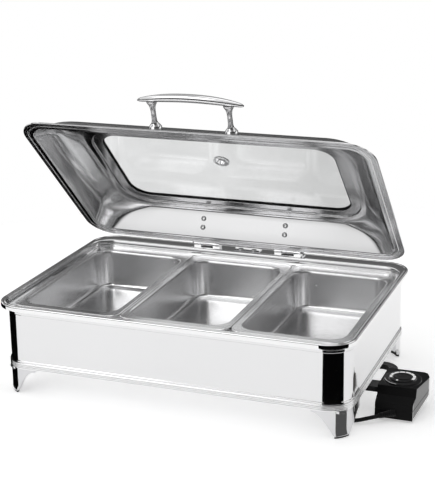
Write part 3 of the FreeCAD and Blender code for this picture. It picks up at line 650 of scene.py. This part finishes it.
# ---------------------------------------------------------------------------
# Lid, drawn closed and placed by lid_at
# ---------------------------------------------------------------------------
LID_Z, DOME_H = 148.0, 45.0
LID_EDGE = (-278.0, 278.0, -187.5, 167.5, 44.0)
FOOT_LINE = grow(LID_EDGE, -15.0)
WINDOW = (-192.0, 192.0, -86.5, 101.5, 32.0)
TOP_LINE = grow(WINDOW, 30.0)
STEP = grow(WINDOW, 17.0)
LID_TOP = LID_Z + DOME_H
BEND_IN, BEND_H = 0.33, 30.0
BEND_LINE = mix(FOOT_LINE[:3], TOP_LINE[:3], BEND_IN)
BEND_LINE += (FOOT_LINE[3] + (TOP_LINE[3] - FOOT_LINE[3]) * BEND_H / DOME_H, 44.0)
BEND_Z = LID_Z + BEND_H
LAND = LID_TOP + 3.2                 # the stepped frame that the window sits on
HEM = LID_Z + 2.6                    # top of the folded edge
UNDER = LID_Z + 0.05
lid_profile = [
    # outside, from the edge up to the window
    (LID_EDGE, LID_Z, 0.4), (LID_EDGE, HEM, 0.9), (grow(LID_EDGE, -3.2), HEM, 0.7),
    (grow(LID_EDGE, -4.0), LID_Z + 1.3, 0.5), (FOOT_LINE, LID_Z + SHEET, 3.0), (BEND_LINE, BEND_Z, 14.0),
    (TOP_LINE, LID_TOP, 9.0), (grow(STEP, 0.6), LID_TOP + 0.1, 1.0), (grow(STEP, -0.2), LAND, 0.9),
    (WINDOW, LAND, 0.4),
    # inside, back down
    (WINDOW, LAND - SHEET, 0.3), (grow(STEP, -1.6), LAND - SHEET, 0.9),
    (grow(STEP, -1.0), LID_TOP - SHEET, 1.0), (grow(TOP_LINE, -1.6), LID_TOP - SHEET, 9.0),
    (grow(BEND_LINE, -1.6), BEND_Z - 0.6, 14.0), (grow(FOOT_LINE, -1.6), UNDER, 3.0),
    # a pressed bead and the hem's fold under the flange
    (grow(LID_EDGE, -9.6), UNDER, 0.2), (grow(LID_EDGE, -8.9), LID_Z + 0.8, 0.2),
    (grow(LID_EDGE, -7.3), LID_Z + 0.8, 0.2), (grow(LID_EDGE, -6.6), UNDER, 0.2),
    (grow(LID_EDGE, -3.9), UNDER, 0.1), (grow(LID_EDGE, -3.8), LID_Z + 1.0, 0),
    (grow(LID_EDGE, -3.3), LID_Z + 1.0, 0), (grow(LID_EDGE, -3.2), LID_Z, 0.1),
]
v, f = loft(soften(lid_profile, 7))
add_mesh("lid_drawn", v, f, LID_STEEL_SHADED, "lid", lid_at, ["lid_shell"], 50)

GLASS_LAP, GLASS_T, SEAL_GAP = 4.0, 4.0, 0.05        # the seal grips the glass all round
GLASS_Z = LID_TOP + 4.4
GLASS_TOP = GLASS_Z + GLASS_T
GLASS_EDGE = grow(WINDOW, GLASS_LAP)
seal_profile = [
    (grow(WINDOW, 8.0), LAND, 0.4), (grow(WINDOW, 8.0), GLASS_TOP + 1.2, 1.3),
    (grow(WINDOW, -2.0), GLASS_TOP + 1.2, 0.9), (grow(WINDOW, -1.2), GLASS_TOP + SEAL_GAP, 0.2),
    (grow(GLASS_EDGE, SEAL_GAP), GLASS_TOP + SEAL_GAP, 0),
    (grow(GLASS_EDGE, SEAL_GAP), GLASS_Z - SEAL_GAP, 0),
    (grow(WINDOW, -1.2), GLASS_Z - SEAL_GAP, 0.2), (grow(WINDOW, -2.0), LAND, 0.5),
]
v, f = loft(soften(seal_profile, 4))
add_mesh("window_seal", v, f, RUBBER, "lid", lid_at, ["lid_gasket"], 50)


def plate_with_hole(rect, z0, z1, hole, radius):
    """A round-cornered plate with a round hole, as one closed mesh."""
    outer = ring(rect, 0.0)
    order = [math.atan2(p[1] - hole[1], p[0] - hole[0]) for p in outer]
    verts, faces = [], []
    n = len(outer)
    edge = 0.5
    for z, inset in ((z0, edge), (z0 + edge, 0.0), (z1 - edge, 0.0), (z1, edge)):
        verts += [(p[0], p[1], z) for p in ring(grow(rect, -inset), 0.0)]
    rim = len(verts)
    for z in (z0, z1):
        verts += [(hole[0] + radius * math.cos(a), hole[1] + radius * math.sin(a), z) for a in order]
    for j in range(3):
        for i in range(n):
            k = (i + 1) % n
            faces.append((j * n + i, j * n + k, (j + 1) * n + k, (j + 1) * n + i))
    for i in range(n):
        k = (i + 1) % n
        faces.append((i, rim + i, rim + k, k))
        faces.append((3 * n + i, 3 * n + k, rim + n + k, rim + n + i))
        faces.append((rim + i, rim + n + i, rim + n + k, rim + k))
    return verts, faces


VENT, VENT_HOLE = (0.0, LID_EDGE[3] - 194.0), 9.5
v, f = plate_with_hole(GLASS_EDGE, GLASS_Z, GLASS_TOP, VENT, VENT_HOLE)
add_mesh("window_glass", v, f, GLASS, "lid", lid_at, ["lid_glass"], 30)
vent = [(6.0, -1.4, 0.4), (11.6, -1.4, 0.5), (12.5, -0.9, 0.3), (12.5, 0.0, 0.1),
        (VENT_HOLE, 0.0, 0.1), (VENT_HOLE, GLASS_T, 0.1), (12.5, GLASS_T, 0.1),
        (12.5, 4.9, 0.3), (11.6, 5.4, 0.5), (6.0, 5.4, 0.4),
        (6.0, -1.4, 0.0)]
v, f = lathe(curve_points(vent, 3), 48)
add_mesh("vent_ring", v, f, BRIGHT, "lid", through(turn_to((*VENT, GLASS_Z), (0, 0, 1)), lid_at),
         ["steam_vent"], 35)

# Handle, on the lid's sloping front wall, whose run and rise are FRONT_RUN and BEND_H
FRONT_RUN = BEND_LINE[2] - FOOT_LINE[2]
FRONT_WALL = math.hypot(FRONT_RUN, BEND_H)
FRONT_OUT = Vector((0, -BEND_H / FRONT_WALL, FRONT_RUN / FRONT_WALL))
POST_SEAT = 24.5
SEAT = Vector((0, FOOT_LINE[2] + POST_SEAT * FRONT_RUN / FRONT_WALL, LID_Z + POST_SEAT * BEND_H / FRONT_WALL))
POST_X, POST_H = 60.0, 45.0
post = [(0, 0.2, 0), (9.4, 0.2, 0.3), (10.2, 2.8, 1.0), (8.4, 6.0, 1.6), (4.8, 10.2, 2.0), (3.8, 15, 3),
        (3.6, 31, 4), (4.8, 38, 3), (8.0, 43.6, 2.0), (8.2, 44.6, 0.4), (7.4, 45.0, 0.3), (0, 45.0, 0)]
for name, x in (("left", -POST_X), ("right", POST_X)):
    v, f = lathe(curve_points(post, 6), 48)
    place = through(turn_to(SEAT + Vector((x, 0, 0)), FRONT_OUT), lid_at)
    add_mesh("handle_post_" + name + "_turned", v, f, HANDLE, "lid", place, ["handle_post_" + name],
             40)

BAR_HALF, BAR_BOW, BAR_R, BAR_SEAT = 83.0, 7.0, 6.3, 0.9
BAR_TAPER = 0.62
BAR_STATIONS, BAR_SIDES = 56, 32
bar_verts, bar_faces = [], []
SIDE = FRONT_OUT.cross(Vector((1, 0, 0)))
for j in range(BAR_STATIONS + 1):
    u = -1 + 2 * j / BAR_STATIONS
    r = BAR_R * (1 - BAR_TAPER * abs(u) ** 3)
    if j in (0, BAR_STATIONS):       # rounded ends
        r *= 0.55
    elif j in (1, BAR_STATIONS - 1):
        r *= 0.93
    mid = SEAT + FRONT_OUT * (POST_H + BAR_SEAT + BAR_BOW * (1 - u * u)) + Vector((u * BAR_HALF, 0, 0))
    for i in range(BAR_SIDES):
        a = 2 * math.pi * i / BAR_SIDES
        bar_verts.append(tuple(mid + FRONT_OUT * (r * math.cos(a)) + SIDE * (r * math.sin(a))))
for j in range(BAR_STATIONS):
    for i in range(BAR_SIDES):
        k = (i + 1) % BAR_SIDES
        a, b = j * BAR_SIDES, (j + 1) * BAR_SIDES
        bar_faces.append((a + i, a + k, b + k, b + i))
bar_faces.append(tuple(reversed(range(BAR_SIDES))))
bar_faces.append(tuple(range(BAR_STATIONS * BAR_SIDES, (BAR_STATIONS + 1) * BAR_SIDES)))
add_mesh("handle_bar_bowed", bar_verts, bar_faces, HANDLE, "lid", lid_at, ["handle_bar"],
         50)

# Hinge
for node in ("hinge_base", "hinge_leaf_left", "hinge_leaf_right"):
    soften_cad(node, 0.5)
# painted shade: the rod is coloured dark for the shaded lines between the hinge knuckles
frame["nodes"]["hinge_rod"].data.materials[0] = ROD_STEEL_SHADED

# the raised middle of the hinge plate, sloping down to the front
BOSS = (-23.0, 23.0, 171.5, 187.5)
BOSS_LOW, BOSS_STEP, BOSS_RISE, BOSS_EDGE = 149.3, 0.15, 2.5, 0.8
boss_verts = []
for inset, lift in ((0.0, 0.0), (0.0, 0.35), (BOSS_EDGE, 1.0)):
    x0, x1, y0, y1 = BOSS[0] + inset, BOSS[1] - inset, BOSS[2] + inset, BOSS[3] - inset
    for x, y in ((x0, y0), (x1, y0), (x1, y1), (x0, y1)):
        slope = BOSS_RISE * (y - BOSS[2]) / (BOSS[3] - BOSS[2])
        boss_verts.append((x, y, BOSS_LOW + (BOSS_STEP + slope) * lift))
boss_faces = [(3, 2, 1, 0), (8, 9, 10, 11)]
for low in (0, 4):
    boss_faces += [(low + i, low + (i + 1) % 4, low + 4 + (i + 1) % 4, low + 4 + i) for i in range(4)]
add_mesh("hinge_plate_boss", boss_verts, boss_faces, BRIGHT, "water_pan_group", at, (), 20)

# the screws that hold the hinge leaves, their heads inside the lid's rear wall
REAR_RUN = FOOT_LINE[3] - TOP_LINE[3]
REAR_WALL = math.hypot(REAR_RUN, DOME_H)
REAR_UP = Vector((0, -REAR_RUN / REAR_WALL, DOME_H / REAR_WALL))
REAR_OUT = Vector((0, DOME_H / REAR_WALL, REAR_RUN / REAR_WALL))
HINGE_X = 72.0
leaf_screw = [(0, -5.9, 0), (2.1, -5.9, 0.2), (2.2, 0.0, 0), (4.4, 0.02, 0.1), (4.4, 0.5, 0.2),
              (3.5, 1.5, 0.3), (2.5, 1.95, 0.2), (2.1, 1.95, 0.1), (1.8, 0.8, 0.1), (0, 0.8, 0)]
screws = []
for cx in (-HINGE_X, HINGE_X):
    for up in (19.0, 34.0):
        seat = Vector((cx, FOOT_LINE[3], LID_Z)) + REAR_UP * up - REAR_OUT * 1.6
        place = turn_to(seat, -REAR_OUT)
        v, f = lathe(curve_points(leaf_screw, 3), 32)
        screws.append(([tuple(place(*p)) for p in v], f))
v, f = join(screws)
add_mesh("leaf_screws_turned", v, f, SCREW, "lid", lid_at, ["hinge_leaf_screws"], 30)

# ---------------------------------------------------------------------------
# Control box, dial
# ---------------------------------------------------------------------------
for node in ("control_base", "control_cover"):
    frame["nodes"][node].data.materials[0] = BOX_PLASTIC
    soften_cad(node, 1.3)

DIAL = (320.5, -46.0, 48.0)
dial_place = through(turn_to(DIAL, (0, 0, 1)), at)
ring_profile = [(20.5, 0.05, 0), (28.0, 0.05, 0.2), (28.0, 2.2, 0.8), (26.6, 3.0, 0.6), (20.8, 3.0, 0.4),
                (20.5, 2.4, 0.2), (20.5, 0.05, 0)]
v, f = lathe(curve_points(ring_profile, 4), 96)
add_mesh("scale_ring_moulded", v, f, PLASTIC, "frame", dial_place, ["scale_ring"], 35)
knob_profile = [(0, 0.4, 0), (19.9, 0.4, 0.3), (19.9, 4.2, 0.4), (19.3, 4.8, 0.4), (13.6, 4.8, 0.2),
                (13.3, 5.5, 0.3), (12.6, 5.9, 0.3), (10.5, 5.9, 0.2), (10.2, 5.6, 0.2), (0, 5.6, 0)]
GRIP_FLUTES = (36, 0.5, 12.5, 13.65)
v, f = lathe(curve_points(knob_profile, 4), 216, GRIP_FLUTES)
add_mesh("knob_moulded", v, f, PLASTIC, "knob", dial_place, ["thermostat_knob"], 35)


def arc_band(a0, a1, r_in, r_out, z0, z1, steps=60):
    """A printed arc as a thin closed solid; angles in degrees from the right-hand side."""
    verts, faces = [], []
    for i in range(steps + 1):
        a = math.radians(a0 + (a1 - a0) * i / steps)
        for r, z in ((r_in, z0), (r_out, z0), (r_out, z1), (r_in, z1)):
            verts.append((r * math.cos(a), r * math.sin(a), z))
    for i in range(steps):
        b, c = i * 4, (i + 1) * 4
        for k in range(4):
            m = (k + 1) % 4
            faces.append((b + k, b + m, c + m, c + k))
    faces.append((3, 2, 1, 0))
    faces.append(tuple(steps * 4 + k for k in range(4)))
    return verts, faces


v, f = arc_band(196, 262, 26.0, 26.5, 2.95, 3.1)
add_mesh("scale_print", v, f, PRINT_WITH_PAINTED_GLOW, "frame", dial_place, (), 30)
# the scale on the knob: a dash and then a tick, eight times round
SCALE_START, SCALE_STEP, SCALE_DASH, SCALE_TICK, SCALE_GAP = -24.0, 29.0, 24.0, 1.8, 1.6
marks = []
for start, span, r_in, r_out in ((SCALE_START, SCALE_DASH, 15.2, 19.2),
                                 (SCALE_START + SCALE_DASH + SCALE_GAP, SCALE_TICK, 13.9, 17.4)):
    for i in range(8):
        a = start + i * SCALE_STEP
        marks.append(arc_band(a, a + span, r_in, r_out, 4.75, 4.92, 8))
v, f = join(marks)
add_mesh("knob_scale", v, f, PRINT_WITH_PAINTED_GLOW, "knob", dial_place, (), 30)

for node in ("control_arm_front", "control_arm_rear"):
    soften_cad(node, 1.0)
# the body's side mirrors neither the box nor its arms
for node in ("control_arm_front", "control_arm_rear", "control_base", "control_cover"):
    frame["nodes"][node].visible_glossy = False
for piece in ("scale_ring_moulded", "knob_moulded", "knob_scale", "scale_print"):
    bpy.data.objects[piece].visible_glossy = False

# ---------------------------------------------------------------------------
# Mains lead
# ---------------------------------------------------------------------------
LEAD_R = 3.0
LOW, UPPER = 3.05, 13.45             # heights of the lead's middle on the table and on the coil
EXIT_DIR = Vector((-0.84, -0.53, -0.12)).normalized()
EXIT = Vector((299.0, -100.5, 10.2))
PLUG_BACK = (72.0, 255.0, 18.0)
route = [
    tuple(EXIT), tuple(EXIT + EXIT_DIR * 18.0), (265.0, -118.5, 4.6), (237.0, -117.5, 3.2),
    (217.0, -94.5, LOW), (212.0, -58.0, LOW), (216.0, -4.0, LOW), (212.0, 54.0, LOW),
    (216.0, 113.0, LOW), (213.0, 171.0, LOW), (206.0, 218.0, LOW), (182.0, 250.0, LOW),
    (148.0, 257.5, LOW),
]
COIL_X, COIL_Y = 128.0, 292.0
TURNS = [(36.0, LOW), (30.0, LOW), (33.0, 8.25), (30.0, UPPER), (36.0, UPPER)]    # radius, height
TURN_STEPS, SHIFT_FROM = 14, 0.7     # a turn moves over to the next one in its last part
for turn, here in enumerate(TURNS):
    after = TURNS[min(turn + 1, len(TURNS) - 1)]
    for i in range(0 if turn else 1, TURN_STEPS):
        t = i / TURN_STEPS
        r, z = mix(here, after, max(0.0, (t - SHIFT_FROM) / (1 - SHIFT_FROM)))
        a = -math.pi / 2 - 2 * math.pi * t
        route.append((COIL_X + r * math.cos(a), COIL_Y + r * math.sin(a), z))
route += [(128.0, 256.0, UPPER), (110.0, 255.2, 14.6), (92.0, 255.0, 17.0), PLUG_BACK]
curve = bpy.data.curves.new("mains_lead_laid", "CURVE")
curve.dimensions = "3D"
curve.bevel_depth = LEAD_R * MM
curve.bevel_resolution = 6
curve.resolution_u = 8
curve.use_fill_caps = True
spline = curve.splines.new("NURBS")
spline.points.add(len(route) - 1)
for point, xyz in zip(spline.points, route):
    point.co = (*at(*xyz), 1.0)
spline.order_u = 3
spline.use_endpoint_u = True
lead = add_object("mains_lead_laid", curve)
curve.materials.append(RUBBER)
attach(lead, "frame")
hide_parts("mains_lead", "lead_coil", "lead_tail")

# the gland, a ribbed sleeve that tapers towards the lead
GLAND_LENGTH, GLAND_RIBS, RIB_PITCH = 24.0, 7, 3.0
gland = [(5.4, 0.0, 0), (5.4, 1.0, 0.3)]
for i in range(GLAND_RIBS):
    h = 1.6 + i * RIB_PITCH
    r = 5.3 - 1.3 * h / GLAND_LENGTH
    gland += [(r, h, 0.25), (r, h + 1.5, 0.25), (r - 0.9, h + 1.9, 0.2), (r - 0.9, h + 2.6, 0.2)]
gland += [(4.05, 22.9, 0.2), (3.95, 23.7, 0.2), (3.1, 23.95, 0)]
v, f = lathe([(0, 0)] + curve_points(gland, 3) + [(0, 23.95)], 40)
add_mesh("gland_moulded", v, f, RUBBER, "frame",
         through(turn_to(EXIT - EXIT_DIR * GLAND_LENGTH, EXIT_DIR), at), ["cord_gland"], 40)

# the plug, with a ribbed neck
plug = [(0, 0.05, 0), (4.6, 0.05, 0.3), (5.0, 2.0, 0.5)]
for i in range(4):
    z = 2.6 + i * 3.0
    r = 5.1 + i * 0.35
    plug += [(r, z, 0.3), (r + 0.1, z + 1.7, 0.3), (r - 0.8, z + 2.1, 0.2), (r - 0.8, z + 2.7, 0.2)]
plug += [(8.6, 17.5, 2.0), (13.2, 24.0, 3.0), (17.0, 32.0, 2.5), (17.9, 36.0, 1.2), (17.9, 48.6, 0.9),
         (17.0, 49.8, 0.5), (0, 49.8, 0)]
v, f = lathe(curve_points(plug, 5), 56)
plug_obj = add_mesh("plug_moulded", v, f, RUBBER, "frame",
                    through(turn_to(PLUG_BACK, (-1, 0, 0)), at), ["plug_body"],
                    40)

# ---------------------------------------------------------------------------
# Floor, surroundings, lights
# ---------------------------------------------------------------------------
floor_mat, nodes, links, bsdf = new_material("floor")
grain = noise(nodes, links, nodes.new("ShaderNodeTexCoord"), 3.0, 3.0).outputs["Fac"]
links.new(blend(nodes, links, grain, (0.90, 0.90, 0.90), (0.93, 0.93, 0.93)), bsdf.inputs["Base Color"])
bsdf.inputs["Roughness"].default_value = 0.7
glow(bsdf, 0.40)
FLOOR_R, FLOOR_SIDES, FLOOR_DROP = 1.0, 96, 0.0002       # m
floor_verts = []
for i in range(FLOOR_SIDES):
    a = 2 * math.pi * i / FLOOR_SIDES
    floor_verts.append((FLOOR_R * math.cos(a), FLOOR_R * math.sin(a), 0))
floor_mesh = bpy.data.meshes.new("floor")
floor_mesh.from_pydata(floor_verts, [], [tuple(range(FLOOR_SIDES))])
floor_mesh.materials.append(floor_mat)
floor = add_object("floor", floor_mesh)
floor.location.z = -FLOOR_DROP

world = bpy.data.worlds.new("studio")
bpy.context.scene.world = world
world.use_nodes = True
nodes, links = world.node_tree.nodes, world.node_tree.links
background = nodes["Background"]
direction = nodes.new("ShaderNodeTexCoord")


def facing(azimuth, full, none):
    """1 towards a compass direction (0 is the front, positive to the right), fading to 0."""
    dot = nodes.new("ShaderNodeVectorMath")
    dot.operation = "DOT_PRODUCT"
    a = math.radians(azimuth)
    dot.inputs[1].default_value = (math.sin(a), -math.cos(a), 0.0)
    links.new(direction.outputs["Generated"], dot.inputs[0])
    fade = nodes.new("ShaderNodeMapRange")
    fade.interpolation_type = "SMOOTHSTEP"
    fade.inputs["From Min"].default_value = math.cos(math.radians(none))
    fade.inputs["From Max"].default_value = math.cos(math.radians(full))
    links.new(dot.outputs["Value"], fade.inputs["Value"])
    return fade.outputs["Result"]


# light and dark bands up the sky: (height of the direction, grey)
SKY_FOOT, SKY_TOP = (0.03, 0.03, 0.03, 1), (0.90, 0.90, 0.91, 1)
SKY_BANDS = ((0.02, 0.03), (0.05, 0.60), (0.26, 1.25), (0.42, 1.35), (0.45, 0.03), (0.53, 0.03),
             (0.57, 1.05), (0.76, 1.05), (0.82, 0.03), (0.93, 0.03), (0.96, 1.1))
# dark stretches round it: azimuth, half-widths of full and no darkness, depth
SKY_DARKS = ((42.0, 38.0, 62.0, 0.90), (-72.0, 12.0, 26.0, 0.85), (-162.0, 20.0, 40.0, 0.92),
             (150.0, 10.0, 30.0, 0.7))
split = nodes.new("ShaderNodeSeparateXYZ")
links.new(direction.outputs["Generated"], split.inputs[0])
height = nodes.new("ShaderNodeValToRGB")
stops = height.color_ramp.elements
stops[0].color, stops[1].color = SKY_FOOT, SKY_TOP
for place, grey in SKY_BANDS:
    stops.new(place).color = (grey, grey, grey, 1)
links.new(split.outputs["Z"], height.inputs["Fac"])
shade = height.outputs["Color"]
for azimuth, full, none, depth in SKY_DARKS:
    share = calculate(nodes, links, "MULTIPLY", facing(azimuth, full, none), depth)
    shade = blend(nodes, links, share, shade, (0.02, 0.02, 0.02))
# the bands are for reflections; seen straight or through the glass it is white all round
path = nodes.new("ShaderNodeLightPath")
straight = calculate(nodes, links, "MAXIMUM", path.outputs["Is Camera Ray"],
                     path.outputs["Is Transmission Ray"])
links.new(blend(nodes, links, straight, shade, (1.0, 1.0, 1.0)), background.inputs["Color"])
background.inputs["Strength"].default_value = 1.0


KEY_AT, KEY_AIM = Vector((-0.9, -1.6, 1.5)), Vector((0, 0, 0.1))
key_data = bpy.data.lights.new("key", "AREA")
key_data.shape = "RECTANGLE"
key_data.size, key_data.size_y = 1.0, 1.0
key_data.energy = 4.5
key = add_object("key", key_data)
key.location = KEY_AT
key.rotation_euler = (KEY_AIM - KEY_AT).to_track_quat("-Z", "Y").to_euler()
sun_data = bpy.data.lights.new("overhead", "SUN")
sun_data.energy = 0.62
sun_data.angle = math.radians(70.0)
sun = add_object("overhead", sun_data)
sun.rotation_euler = (math.radians(12.0), math.radians(-8.0), 0.0)


# ---------------------------------------------------------------------------
# Studio flags: black screens near the corners that only reflections see
# ---------------------------------------------------------------------------
def flag_cloth(name, brightness):
    """Dull cloth for a studio flag; brightness lifts it from black towards grey."""
    mat, nodes, links, bsdf = new_material(name)
    coords = nodes.new("ShaderNodeTexCoord")
    tone = to_range(nodes, links, noise(nodes, links, coords, 40.0, 2.0).outputs["Fac"], 0.9, 1.0)
    links.new(tone, bsdf.inputs["Roughness"])
    bsdf.inputs["Base Color"].default_value = (0.004, 0.004, 0.004, 1)
    bsdf.inputs["Specular IOR Level"].default_value = 0.0
    glow(bsdf, brightness)
    return mat


BLACK_CLOTH = flag_cloth("flag_cloth", 0.0)
GREY_CLOTH = flag_cloth("grey_flag_cloth", 0.11)


def flag(name, points, faces, cloth=BLACK_CLOTH):
    """A screen that only glossy surfaces see."""
    mesh = bpy.data.meshes.new(name)
    mesh.from_pydata([tuple(at(*p)) for p in points], [], faces)
    mesh.materials.append(cloth)
    obj = add_object(name, mesh)
    obj.visible_camera = False
    obj.visible_diffuse = False
    obj.visible_shadow = False
    obj.visible_transmission = False


FLAG_STEPS = 24


def curved_flag(name, centre, radius, start, end, low, high, cloth=BLACK_CLOTH):
    """An upright flag bent round a point. Angles run from the front, positive to the right."""
    points = []
    for i in range(FLAG_STEPS + 1):
        a = math.radians(start + (end - start) * i / FLAG_STEPS)
        x, y = centre[0] + radius * math.sin(a), centre[1] - radius * math.cos(a)
        points += [(x, y, low), (x, y, high)]
    faces = [(2 * i, 2 * i + 2, 2 * i + 3, 2 * i + 1) for i in range(FLAG_STEPS)]
    flag(name, points, faces, cloth)


CORNER_X, CORNER_Y = BODY[1] - BODY[4], BODY[3] - BODY[4]
FRONT_RIGHT, FRONT_LEFT, REAR_LEFT = (CORNER_X, -CORNER_Y), (-CORNER_X, -CORNER_Y), (-CORNER_X, CORNER_Y)
BODY_FLAG_R, BODY_FLAG_LOW, BODY_FLAG_HIGH = 75.0, 33.0, 150.0
FOOT_FLAG_R, FOOT_FLAG_LOW, FOOT_FLAG_HIGH = 47.0, 0.5, 39.0
for name, corner, start, end in (("flag_front_right", FRONT_RIGHT, -5.0, 66.0),
                                 ("flag_front_left", FRONT_LEFT, -125.0, -45.0),
                                 ("flag_rear_left", REAR_LEFT, -150.0, -115.0)):
    curved_flag(name, corner, BODY_FLAG_R, start, end, BODY_FLAG_LOW, BODY_FLAG_HIGH)
for name, corner, start, end, cloth in (("flag_foot_right", FRONT_RIGHT, 33.0, 66.0, GREY_CLOTH),
                                        ("flag_foot_left", FRONT_LEFT, -125.0, -34.0, BLACK_CLOTH)):
    curved_flag(name, corner, FOOT_FLAG_R, start, end, FOOT_FLAG_LOW, FOOT_FLAG_HIGH, cloth)
# one on the floor at the left for the lid's flange, one beside the right foot's rear wing
CARD_Z, WING_CARD_X = 0.6, 284.0
flag("flag_floor_left", [(x, y, CARD_Z) for x, y in ((-640, -140), (-315, -140), (-315, 420), (-640, 420))],
     [(0, 1, 2, 3)])
flag("flag_wing_right", [(WING_CARD_X, y, z) for y, z in ((-116, 0.5), (-80, 0.5), (-80, 44), (-116, 44))],
     [(0, 1, 2, 3)])

bpy.context.scene.view_settings.view_transform = "Standard"
bpy.context.scene.view_settings.exposure = 0.0
